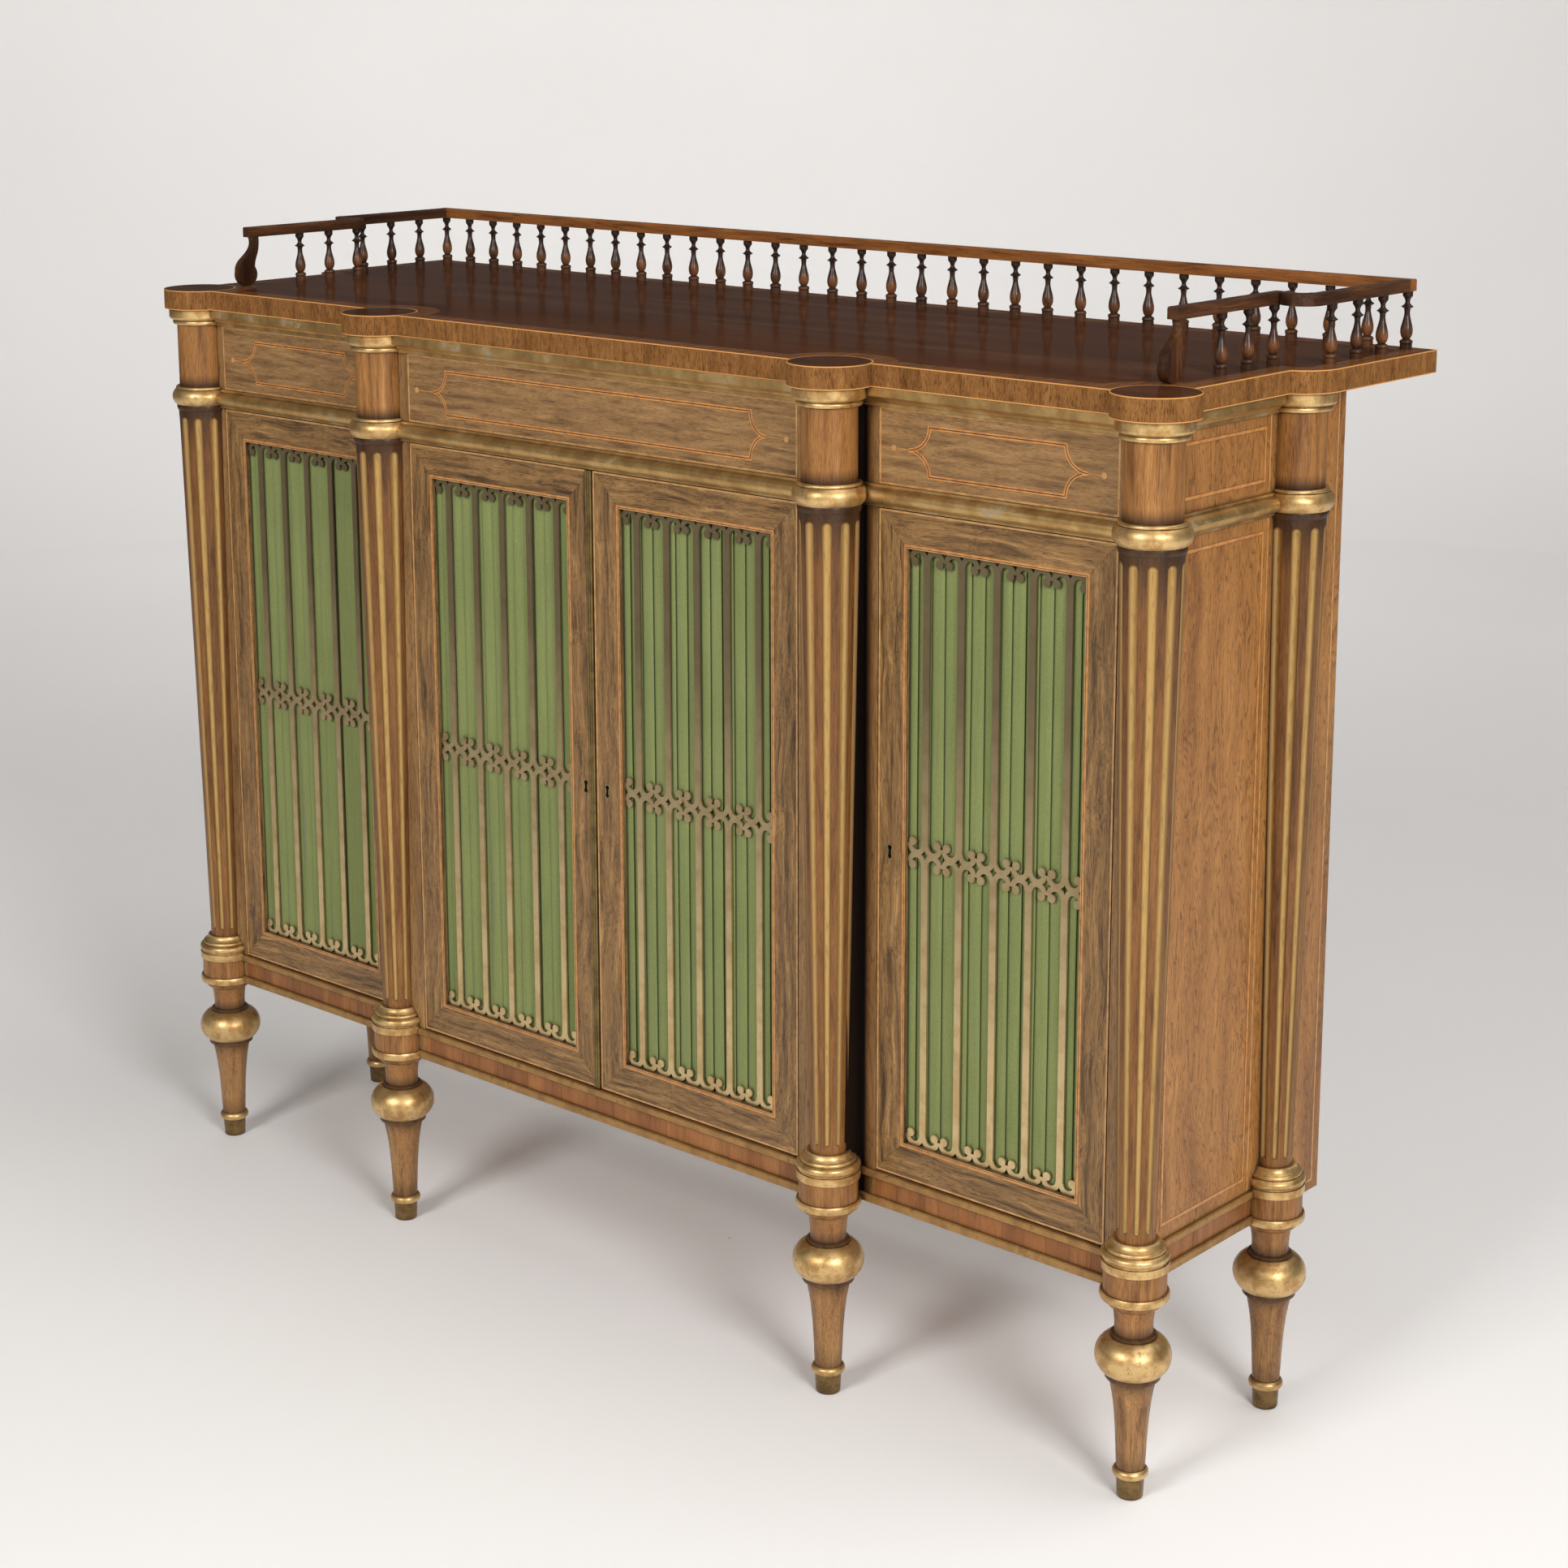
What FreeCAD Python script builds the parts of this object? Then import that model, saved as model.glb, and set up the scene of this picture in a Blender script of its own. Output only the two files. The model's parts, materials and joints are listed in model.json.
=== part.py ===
"""Breakfront chiffonier with fluted columns, brass-grilled doors and a spindle gallery.

Millimetres. +Z is up, the doors face -Y and +X is the right-hand side. The origin is on the floor,
in the middle of the cabinet's width and of the top board's depth.
"""
import math
import os

import FreeCAD
import Part

V = FreeCAD.Vector

# Driving dimensions of the top and the gallery
TOP_Z = 1079.0
TOP_THICK = 23.0
TOP_BACK = 251.0
TOP_SIDE_REAR = 732.0
TOP_SIDE_FRONT = 704.0
TOP_FRONT_CENTRE = -220.0
TOP_FRONT_WING = -194.0
DISC_R = 42.0
RAIL_W = 12.0
RAIL_H = 12.0
SPINDLE_H = 58.0
GALLERY_INSET = 20.0
BACK_SPINDLES = 33
SIDE_RAIL_X = 668.0
SIDE_RAIL_FRONT = -124.0
RAIL_EASE = 2.5
SIDE_SPINDLES_Y = (-42.0, 4.0, 49.0)
REAR_SPINDLES = 3
REAR_SPINDLE_PITCH = 48.0
SCROLL_R = 13.5
SCROLL_W = 10.0
SCROLL_BAR = 8.7
SCROLL_SETBACK = 6.0
SCROLL_FOOT_AHEAD = 8.5
# Curves of the scroll as distances ahead of its bar's front and heights over the top board
SCROLL_FRONT = ((0.0, 45.5), (7.5, 37.0), (17.5, 28.5), (21.39, 17.5))
SCROLL_BACK = ((-1.84, 22.18), (-3.5, 31.0), (-7.0, 40.0), (-8.7, 49.0))

# Column axes as X (mirrored for the left side) and Y
OUTER_COLUMN = (690.0, -180.0)
INNER_COLUMN = (330.0, -209.0)
REAR_COLUMN = (690.0, 63.0)

# Column heights and radii
DRUM_TOP = 1037.0
TORUS_TOP = 962.0
TORUS_BASE = 940.0
SHAFT_TOP = 933.0
SHAFT_BASE = 268.0
BAND_BASE = 239.0
PLINTH_BASE = 216.0
NECK_TOP = 208.0
BALL_TOP = 168.0
BALL_BASE = 131.0
ANKLE_TOP = 31.0
CAP_TOP = 22.0
CAP_FLOOR = 8.0
CAP_SOLE_R = 10.6
CAP_EDGE = ((12.2, 0.6), (12.8, 2.4))
CAP_TOP_R = 13.8
ANKLE_R = 14.0
LEG_SWELL = ((15.6, 65.0), (18.6, 100.0), (23.0, 124.0))
COLLAR_BASE = 126.0
LEG_COLLAR_R = 27.0
NECK_SEAT_R = 22.0
NECK_SEAT_TOP = 171.0
NECK_SWELL = ((18.8, 172.0), (18.8, 182.0), (21.0, 199.0))
NECK_FLARE = ((24.0, 200.0), (26.8, 202.5), (28.0, 208.0))
DRUM_R = 28.2
SHAFT_TOP_R = 30.5
NECKING = ((31.3, 933.0), (32.3, 936.5), (31.9, 940.0))
SHAFT_BASE_R = 19.0
PLINTH_R = 30.8
CORE_R = 24.0
LOW_CORE_R = 16.0
TENON_R = 10.0
FLUTES = 10
FLUTE_TOP = 920.0
FLUTE_BASE = 280.0
FLUTE_TOP_R = 5.6
FLUTE_BASE_R = 3.3
FLUTE_LIFT = 0.35

# Carcase planes and board thicknesses
CENTRE_FACE = -207.0
WING_FACE = -178.0
SIDE_FACE = 684.0
CARCASE_BACK = 161.0
CARCASE_BASE = 208.0
BOARD = 20.0
RAIL_DEPTH = 24.0
POST_DEPTH = 28.0
BACK_BOARD = 12.0
PLINTH_TOP = 245.5
FRIEZE_BASE = 937.0
CENTRE_OPENING = 288.0
BLOCK_SIDE = 348.0
WING_OPENING_IN = 367.0
WING_OPENING_OUT = 652.7
PARTITION_X = 316.0
SHELF_Z = 590.0
SHELF_THICK = 18.0
SHELF_SETBACK = 40.0
BEARER = 14.0

# Applied mouldings as heights and projections
CAVETTO_Z = 1036.0
CAVETTO_CURVE = ((4.0, 0.0), (4.0, 3.5), (6.0, 4.5), (8.0, 7.0), (13.0, 9.5), (15.0, 11.0))
TORUS_Z = 937.0
TORUS_H = 22.0
TORUS_FILLET_H = 3.0
TORUS_FILLET_OUT = 4.0
TORUS_OUT = 12.0
TORUS_STEPS = 12
BEAD_OUT = 4.0
BEAD_EASE = 1.2
UPPER_BEAD = (237.0, 245.0)
LOWER_BEAD = (208.5, 217.5)

# Doors
DOOR_BASE = 247.0
DOOR_TOP = 935.2
DOOR_THICK = 22.0
DOOR_GAP = 1.1
MEETING_GAP = 0.75
OPENING_W = 213.0
OPENING_BASE = 284.0
OPENING_TOP = 899.0
HINGE_STILE = 35.25
LIP = 4.0
REBATE = 8.0
PIVOT_IN = 9.0
PIVOT_BACK = 3.5
PIVOT_R = 2.0
PIVOT_CLEAR = 0.06
PIVOT_LENGTH = 8.0
PIVOT_END_GAP = 1.0
COLLAR_R = 3.0
COLLAR_H = 1.2
REEDS = 3
REED_W = 3.0
REED_BASE = 0.8
REED_OUT = 2.2

# Grille and silk
BARS = 5
BAR_W = 7.9
GRILLE_THICK = 2.2
GRILLE_BORDER = 5.0
ARCH_R = 8.6
ARCH_W = 5.6
ARCH_OFFSET = 10.3
ARCH_DROP = 11.0
CURL_R = 4.4
CURL_OUT = 15.3
CURL_DROP = 13.2
BAND_OVERLAP = 2.4
TIP_OVER = 0.8
BORDER_SIDE_CLEAR = 1.2
BORDER_END_CLEAR = 0.4
PLEATS = 14
PLEAT_DEPTH = 3.0
PLEAT_STEP = 0.8
SILK_THICK = 0.8
SILK_GAP = 0.6

# Locks and bolts
LOCK_Z = 588.0
LOCK_W = 26.0
LOCK_H = 50.0
LOCK_THICK = 10.0
BOLT_W = 16.0
BOLT_H = 14.0
BOLT_THICK = 5.0
BOLT_THROW = 7.0
BOLT_CLEAR = 0.4
KEYHOLE_IN = 15.5
KEYHOLE_HALF = 4.4
KEYHOLE_HEAD_R = 2.8
KEYHOLE_FOOT_R = 2.6
KEYHOLE_WAIST = 3.4
LINER = 0.9
LINER_OUT = 0.3
LINER_DEPTH = 6.0
FLUSH_BOLT_L = 60.0
FLUSH_BOLT_W = 9.0
KNOB_R = 3.0
KNOB_OUT = 2.5

# Screws that hold the top board down
SCREW_R = 2.2
SCREW_HEAD_R = 4.5
SCREW_HEAD_H = 3.0
SCREW_LENGTH = 34.0
SCREW_X = (120.0, 250.0, 420.0, 600.0)
SCREW_Y = (-120.0, 110.0)

TOP_UNDER = TOP_Z - TOP_THICK


def box(x0, x1, y0, y1, z0, z1):
    """Return a block between two corners."""
    return Part.makeBox(x1 - x0, y1 - y0, z1 - z0, V(x0, y0, z0))


def cylinder(radius, x, y, z0, z1):
    """Return an upright cylinder."""
    return Part.makeCylinder(radius, z1 - z0, V(x, y, z0))


def mirrored(shape):
    """Return the left-hand twin of a right-hand shape."""
    return shape.mirror(V(0, 0, 0), V(1, 0, 0))


def both(shape):
    """Return a right-hand shape and its left-hand twin."""
    return [shape, mirrored(shape)]


def merged(shapes):
    """Fuse touching shapes into one clean solid."""
    return shapes[0].multiFuse(shapes[1:]).removeSplitter()


def prism(points, z0, z1):
    """Return an upright prism over a closed plan of X, Y points."""
    corners = [V(x, y, z0) for x, y in points]
    return Part.Face(Part.makePolygon(corners + corners[:1])).extrude(V(0, 0, z1 - z0))


class Outline:
    """A half section of a turning, drawn from its lower axis point as radius and height."""

    def __init__(self, radius, height):
        """Start the outline at a radius and height."""
        self.start = V(radius, 0, height)
        self.at = self.start
        self.edges = []

    def line(self, radius, height):
        """Draw a straight run."""
        end = V(radius, 0, height)
        self.edges.append(Part.LineSegment(self.at, end).toShape())
        self.at = end
        return self

    def arc(self, mid_radius, mid_height, radius, height):
        """Draw an arc through a middle point."""
        end = V(radius, 0, height)
        self.edges.append(Part.Arc(self.at, V(mid_radius, 0, mid_height), end).toShape())
        self.at = end
        return self

    def sweep(self, *points):
        """Draw one smooth curve through the points that follow."""
        ends = [V(radius, 0, height) for radius, height in points]
        curve = Part.BSplineCurve()
        curve.interpolate([self.at] + ends)
        self.edges.append(curve.toShape())
        self.at = ends[-1]
        return self

    def turned(self):
        """Close the outline and turn it round the Z axis."""
        edges = self.edges + [Part.LineSegment(self.at, self.start).toShape()]
        face = Part.Face(Part.Wire(edges))
        return face.revolve(V(0, 0, 0), V(0, 0, 1), 360)


def shaft_radius(height):
    """Return the tapered shaft's radius at a height."""
    share = (height - SHAFT_BASE) / (SHAFT_TOP - SHAFT_BASE)
    return SHAFT_BASE_R + share * (SHAFT_TOP_R - SHAFT_BASE_R)


def flute():
    """Return the cutter of one tapered flute with round ends."""
    ends = []
    for height, radius in ((FLUTE_BASE, FLUTE_BASE_R), (FLUTE_TOP, FLUTE_TOP_R)):
        ends.append((V(shaft_radius(height) + FLUTE_LIFT * radius, 0, height), radius))
    (low, low_r), (high, high_r) = ends
    run = high - low
    cone = Part.makeCone(low_r, high_r, run.Length, low, run)
    return [cone, Part.makeSphere(low_r, low), Part.makeSphere(high_r, high)]


def column_wood():
    """Return the turned wood of one column, from the frieze drum down to the foot tenon."""
    wood = (
        Outline(0, CAP_FLOOR).line(TENON_R, CAP_FLOOR).line(TENON_R, ANKLE_TOP).line(ANKLE_R, ANKLE_TOP)
        .sweep(*LEG_SWELL).line(LEG_COLLAR_R, COLLAR_BASE).line(LEG_COLLAR_R, BALL_BASE)
        .line(LOW_CORE_R, BALL_BASE).line(LOW_CORE_R, BALL_TOP).line(NECK_SEAT_R, BALL_TOP)
        .line(NECK_SEAT_R, NECK_SEAT_TOP).line(*NECK_SWELL[0]).sweep(*NECK_SWELL[1:])
        .line(*NECK_FLARE[0]).arc(*NECK_FLARE[1], *NECK_FLARE[2])
        .line(LOW_CORE_R, NECK_TOP).line(LOW_CORE_R, PLINTH_BASE).line(PLINTH_R, PLINTH_BASE)
        .line(PLINTH_R, BAND_BASE).line(LOW_CORE_R, BAND_BASE).line(LOW_CORE_R, SHAFT_BASE)
        .line(SHAFT_BASE_R, SHAFT_BASE).line(SHAFT_TOP_R, SHAFT_TOP).line(*NECKING[0])
        .arc(*NECKING[1], *NECKING[2]).line(CORE_R, TORUS_BASE).line(CORE_R, TORUS_TOP)
        .line(DRUM_R, TORUS_TOP).line(DRUM_R, DRUM_TOP).line(CORE_R, DRUM_TOP)
        .line(CORE_R, TOP_UNDER).line(0, TOP_UNDER).turned()
    )
    cutters = []
    for index in range(FLUTES):
        for cutter in flute():
            turned = cutter.copy()
            turned.rotate(V(0, 0, 0), V(0, 0, 1), (index + 0.5) * 360 / FLUTES)
            cutters.append(turned)
    return wood.cut(cutters)


def column_rings():
    """Return the gilt rings of one column: cap, torus, base mouldings, lower band, ball and ankle."""
    cap = (
        Outline(CORE_R, DRUM_TOP).line(32, DRUM_TOP).arc(33, DRUM_TOP + 2.5, 32, 1042).line(34.5, 1043)
        .arc(36.4, 1044.5, 37, 1047).line(37, TOP_UNDER).line(CORE_R, TOP_UNDER).turned()
    )
    torus = (
        Outline(CORE_R, TORUS_BASE).line(33, TORUS_BASE).arc(37.3, 949.4, 33.6, 958).line(32.2, 958.4)
        .arc(32.8, 960, 31.4, TORUS_TOP).line(CORE_R, TORUS_TOP).turned()
    )
    base = (
        Outline(LOW_CORE_R, BAND_BASE).line(33, BAND_BASE).line(33, 247).line(31.6, 247.4)
        .line(31.6, 249).arc(33.4, 252.6, 30, 257.4).line(28.8, 257.6).arc(29, 259.8, 27.4, 261.6)
        .line(26.4, 261.8).arc(24, 264.2, 22.6, SHAFT_BASE).line(LOW_CORE_R, SHAFT_BASE).turned()
    )
    band = (
        Outline(LOW_CORE_R, NECK_TOP).line(33, NECK_TOP).arc(34, 212, 33, PLINTH_BASE)
        .line(LOW_CORE_R, PLINTH_BASE).turned()
    )
    ball = (
        Outline(LOW_CORE_R, BALL_BASE).line(28, BALL_BASE).arc(37.3, 148.5, 24, BALL_TOP)
        .line(LOW_CORE_R, BALL_TOP).turned()
    )
    ankle = (
        Outline(TENON_R, CAP_TOP).line(15, CAP_TOP).arc(17.7, 26.5, 15, ANKLE_TOP)
        .line(TENON_R, ANKLE_TOP).turned()
    )
    return [cap, torus, base, band, ball, ankle]


def foot_cap():
    """Return the brass cup that shoes one foot."""
    cup = (
        Outline(0, 0).line(CAP_SOLE_R, 0).arc(*CAP_EDGE[0], *CAP_EDGE[1]).line(CAP_TOP_R, CAP_TOP)
        .line(0, CAP_TOP).turned()
    )
    return cup.cut(cylinder(TENON_R, 0, 0, CAP_FLOOR, CAP_TOP))


def column_places():
    """Return the six column names with their axes."""
    places = {}
    for place, (x, y) in (("outer", OUTER_COLUMN), ("inner", INNER_COLUMN), ("rear", REAR_COLUMN)):
        places[place + "_right"] = (x, y)
        places[place + "_left"] = (-x, y)
    return places


def carcase_mass():
    """Return the whole block of the carcase, which the columns are fitted against."""
    half = [(BLOCK_SIDE, CENTRE_FACE), (BLOCK_SIDE, WING_FACE)]
    half += [(SIDE_FACE, WING_FACE), (SIDE_FACE, CARCASE_BACK)]
    return prism(half + [(-x, y) for x, y in reversed(half)], CARCASE_BASE, TOP_UNDER)


def make_columns(nodes, wood, rings):
    """Add the columns, their gilt rings and foot caps, fitted against the carcase behind them."""
    backing, caps = carcase_mass(), []
    for name, (x, y) in column_places().items():
        place = V(x, y, 0)
        nodes["column_" + name] = [wood.translated(place).cut(backing)]
        nodes["gilt_rings_" + name] = [ring.translated(place).cut(backing) for ring in rings]
        caps.append(foot_cap().translated(place))
    nodes["foot_caps"] = caps


def make_top(nodes, screws):
    """Add the top board, whose plan swells into a disc over each column."""
    parts = [
        box(-INNER_COLUMN[0], INNER_COLUMN[0], TOP_FRONT_CENTRE, TOP_BACK, TOP_UNDER, TOP_Z),
        box(-TOP_SIDE_FRONT, TOP_SIDE_FRONT, TOP_FRONT_WING, TOP_BACK, TOP_UNDER, TOP_Z),
        box(-TOP_SIDE_REAR, TOP_SIDE_REAR, REAR_COLUMN[1], TOP_BACK, TOP_UNDER, TOP_Z),
    ]
    parts += [cylinder(DISC_R, x, y, TOP_UNDER, TOP_Z) for x, y in column_places().values()]
    nodes["top_board"] = [merged(parts).cut(screws)]


def spindle():
    """Return one turned gallery spindle standing on the floor at the origin."""
    return (
        Outline(0, 0).line(6.1, 0).line(6.1, 4.8).line(5.6, 5.2).arc(6.6, 7.2, 5.4, 9.2).line(3.6, 10.2)
        .sweep((6.2, 17.5), (4.3, 28), (3.1, 40)).line(3.4, 40.6).line(6.2, 42.4).line(3.4, 44.6)
        .sweep((2.3, 47.5), (3.2, 50.5), (5, 53)).line(5.1, SPINDLE_H).line(0, SPINDLE_H).turned()
    )


def rail_run(x0, x1, y0, y1):
    """Return a straight rail with eased long edges."""
    bottom = TOP_Z + SPINDLE_H
    run = box(x0, x1, y0, y1, bottom, bottom + RAIL_H)
    along = V(1, 0, 0) if x1 - x0 > y1 - y0 else V(0, 1, 0)
    edges = []
    for edge in run.Edges:
        direction = edge.Vertexes[1].Point - edge.Vertexes[0].Point
        if abs(direction.dot(along)) > RAIL_W and edge.CenterOfMass.z > bottom + RAIL_H / 2:
            edges.append(edge)
    return run.makeFillet(RAIL_EASE, edges)


def side_rail():
    """Return the right-hand rail, which steps out round the rear column's disc."""
    x, y = REAR_COLUMN
    outer = DISC_R - GALLERY_INSET
    bottom = TOP_Z + SPINDLE_H
    ring = cylinder(outer, x, y, bottom, bottom + RAIL_H).cut(
        cylinder(outer - RAIL_W, x, y, bottom, bottom + RAIL_H)
    )
    bow = ring.common(box(SIDE_RAIL_X + RAIL_W / 2, x + outer, y - outer, y, bottom, bottom + RAIL_H))
    front = rail_run(SIDE_RAIL_X - RAIL_W / 2, SIDE_RAIL_X + RAIL_W / 2, SIDE_RAIL_FRONT, y - RAIL_W / 2)
    rear = rail_run(x + outer - RAIL_W, x + outer, y, TOP_BACK - GALLERY_INSET / 2 - RAIL_W)
    return merged([front, bow, rear])


def scroll_point(ahead, up):
    """Return a point on the inner side of the right-hand scroll, from its bar's front and the top board."""
    return V(SIDE_RAIL_X - SCROLL_W / 2, SIDE_RAIL_FRONT + SCROLL_SETBACK - ahead, TOP_Z + up)


def scroll():
    """Return the right-hand S-shaped bracket that ends the gallery, a bar over a round foot."""
    bar_front, bar_back = scroll_point(0, SPINDLE_H), scroll_point(-SCROLL_BAR, SPINDLE_H)
    front_points = [scroll_point(*point) for point in SCROLL_FRONT]
    back_points = [scroll_point(*point) for point in SCROLL_BACK]
    front, back = Part.BSplineCurve(), Part.BSplineCurve()
    front.interpolate([bar_front] + front_points)
    back.interpolate(back_points + [bar_back])
    edges = [
        front.toShape(),
        Part.LineSegment(front_points[-1], back_points[0]).toShape(),
        back.toShape(),
        Part.LineSegment(bar_back, bar_front).toShape(),
    ]
    neck = Part.Face(Part.Wire(edges)).extrude(V(SCROLL_W, 0, 0))
    centre = scroll_point(SCROLL_FOOT_AHEAD, SCROLL_R)
    return merged([neck, Part.makeCylinder(SCROLL_R, SCROLL_W, centre, V(1, 0, 0))])


def make_gallery(nodes):
    """Add the rails, spindles and scroll brackets of the gallery."""
    corner_x = REAR_COLUMN[0] + DISC_R - GALLERY_INSET - RAIL_W / 2
    back_y = TOP_BACK - GALLERY_INSET / 2 - RAIL_W / 2
    end = corner_x + RAIL_W / 2
    nodes["gallery_rail_back"] = [rail_run(-end, end, back_y - RAIL_W / 2, back_y + RAIL_W / 2)]
    right = side_rail()
    nodes["gallery_rail_right"], nodes["gallery_rail_left"] = [right], [mirrored(right)]
    baluster = spindle()
    pitch = 2 * corner_x / (BACK_SPINDLES - 1)
    nodes["gallery_spindles_back"] = [
        baluster.translated(V(-corner_x + index * pitch, back_y, TOP_Z)) for index in range(BACK_SPINDLES)
    ]
    side_places = [(SIDE_RAIL_X, y) for y in SIDE_SPINDLES_Y]
    side_places += [(corner_x, back_y - (step + 1) * REAR_SPINDLE_PITCH) for step in range(REAR_SPINDLES)]
    right_set = [baluster.translated(V(x, y, TOP_Z)) for x, y in side_places]
    nodes["gallery_spindles_right"] = right_set
    nodes["gallery_spindles_left"] = [mirrored(piece) for piece in right_set]
    nodes["gallery_scrolls"] = both(scroll())


def inner_post():
    """Return the right-hand pair of posts behind an inner column: the break and the wing's stile."""
    break_post = box(CENTRE_OPENING, BLOCK_SIDE, CENTRE_FACE, WING_FACE, CARCASE_BASE, TOP_UNDER)
    wing_back = WING_FACE + POST_DEPTH
    wing_post = box(CENTRE_OPENING, WING_OPENING_IN, WING_FACE, wing_back, CARCASE_BASE, TOP_UNDER)
    return [break_post, wing_post]


def outer_post():
    """Return the right-hand corner post behind an outer column."""
    return box(WING_OPENING_OUT, SIDE_FACE, WING_FACE, WING_FACE + POST_DEPTH, CARCASE_BASE, TOP_UNDER)


def side_panel():
    """Return the right-hand side panel, whose rear part runs down past the side plinth."""
    front = WING_FACE + POST_DEPTH
    upper = box(SIDE_FACE - BOARD, SIDE_FACE, front, CARCASE_BACK, PLINTH_TOP, TOP_UNDER)
    tail = box(SIDE_FACE - BOARD, SIDE_FACE, REAR_COLUMN[1], CARCASE_BACK, CARCASE_BASE, PLINTH_TOP)
    return merged([upper, tail])


def floor_plan():
    """Return the breakfront plan shared by the bottom board and the board under the top."""
    side = SIDE_FACE - BOARD
    wing = WING_FACE + POST_DEPTH
    centre = CENTRE_FACE + RAIL_DEPTH
    back = CARCASE_BACK - BACK_BOARD
    half = [(CENTRE_OPENING, centre), (CENTRE_OPENING, wing), (side, wing), (side, back)]
    return half + [(-x, y) for x, y in reversed(half)]


def rails(z0, z1):
    """Return the centre, right and left front rails between two heights."""
    centre = box(-CENTRE_OPENING, CENTRE_OPENING, CENTRE_FACE, CENTRE_FACE + RAIL_DEPTH, z0, z1)
    wing = box(WING_OPENING_IN, WING_OPENING_OUT, WING_FACE, WING_FACE + RAIL_DEPTH, z0, z1)
    return [centre] + both(wing)


def make_carcase(nodes, screws):
    """Add the boards, posts, rails and shelves of the carcase."""
    wing_front = WING_FACE + POST_DEPTH
    inside_back = CARCASE_BACK - BACK_BOARD
    inside_side = SIDE_FACE - BOARD
    right = side_panel()
    nodes["side_panel_right"], nodes["side_panel_left"] = [right], [mirrored(right)]
    nodes["back_panel"] = [
        box(-inside_side, inside_side, inside_back, CARCASE_BACK, CARCASE_BASE, TOP_UNDER)
    ]
    nodes["bottom_board"] = [prism(floor_plan(), PLINTH_TOP - BOARD, PLINTH_TOP)]
    nodes["under_top_board"] = [prism(floor_plan(), TOP_UNDER - BOARD, TOP_UNDER).cut(screws)]
    partition_side = PARTITION_X + BOARD
    partition = box(PARTITION_X, partition_side, wing_front, inside_back, PLINTH_TOP, TOP_UNDER - BOARD)
    nodes["partitions"] = both(partition)
    nodes["front_posts"] = [piece for post in inner_post() + [outer_post()] for piece in both(post)]
    side_rail_low = box(inside_side, SIDE_FACE, wing_front, REAR_COLUMN[1], CARCASE_BASE, PLINTH_TOP)
    nodes["plinth_rails"] = rails(CARCASE_BASE, PLINTH_TOP) + both(side_rail_low)
    nodes["frieze_rails"] = rails(FRIEZE_BASE, TOP_UNDER)
    shelf_front = wing_front + SHELF_SETBACK
    centre_shelf = box(-PARTITION_X, PARTITION_X, shelf_front, inside_back, SHELF_Z, SHELF_Z + SHELF_THICK)
    wing_shelf = box(partition_side, inside_side, shelf_front, inside_back, SHELF_Z, SHELF_Z + SHELF_THICK)
    nodes["shelf_centre"] = [centre_shelf]
    nodes["shelves_wing"] = both(wing_shelf)
    bearers = []
    for x0 in (PARTITION_X - BEARER, partition_side, inside_side - BEARER):
        bearers += both(box(x0, x0 + BEARER, shelf_front, inside_back, SHELF_Z - BEARER, SHELF_Z))
    nodes["shelf_bearers"] = bearers


def moulding_runs(section):
    """Run a moulding section along the front faces and the sides, as far as the column axes.

    The section is a closed list of projection and height. The columns' own rings take over at the axes.
    """
    runs = []
    inner, outer, rear = INNER_COLUMN, OUTER_COLUMN, REAR_COLUMN
    straight = [
        (V(-inner[0], CENTRE_FACE, 0), V(2 * inner[0], 0, 0), V(0, -1, 0)),
        (V(BLOCK_SIDE, WING_FACE, 0), V(outer[0] - BLOCK_SIDE, 0, 0), V(0, -1, 0)),
        (V(SIDE_FACE, outer[1], 0), V(0, rear[1] - outer[1], 0), V(1, 0, 0)),
    ]
    for start, run, outward in straight:
        corners = [start + outward * out + V(0, 0, height) for out, height in section]
        piece = Part.Face(Part.makePolygon(corners + corners[:1])).extrude(run)
        runs.append(piece)
    return [runs[0], runs[1], mirrored(runs[1]), runs[2], mirrored(runs[2])]


def half_round(middle):
    """Return the points of the torus moulding's round as projection from its fillets and height."""
    half_height = TORUS_H / 2 - TORUS_FILLET_H
    projection = TORUS_OUT - TORUS_FILLET_OUT
    points = []
    for index in range(TORUS_STEPS + 1):
        angle = math.pi * index / TORUS_STEPS
        points.append((projection * math.sin(angle), middle - half_height * math.cos(angle)))
    return points


def make_mouldings(nodes, turnings):
    """Add the brass mouldings under the top, under the frieze and round the plinth."""
    columns = [shape.translated(V(x, y, 0)) for x, y in column_places().values() for shape in turnings]
    cavetto = [(0, CAVETTO_Z)] + [(out, CAVETTO_Z + up) for out, up in CAVETTO_CURVE]
    cavetto += [(CAVETTO_CURVE[-1][0], TOP_UNDER), (0, TOP_UNDER)]
    middle, step = TORUS_Z + TORUS_H / 2, TORUS_FILLET_OUT
    torus = [(0, TORUS_Z), (step, TORUS_Z)]
    torus += [(step + out, height) for out, height in half_round(middle)]
    torus += [(step, TORUS_Z + TORUS_H), (0, TORUS_Z + TORUS_H)]
    nodes["cavetto_mouldings"] = [run.cut(columns) for run in moulding_runs(cavetto)]
    nodes["torus_mouldings"] = [run.cut(columns) for run in moulding_runs(torus)]
    beads = []
    for z0, z1 in (UPPER_BEAD, LOWER_BEAD):
        eased = BEAD_OUT - BEAD_EASE
        bead = [(0, z0), (eased, z0), (BEAD_OUT, z0 + BEAD_EASE)]
        bead += [(BEAD_OUT, z1 - BEAD_EASE), (eased, z1), (0, z1)]
        beads += [run.cut(columns) for run in moulding_runs(bead)]
    nodes["plinth_beads"] = beads


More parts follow.
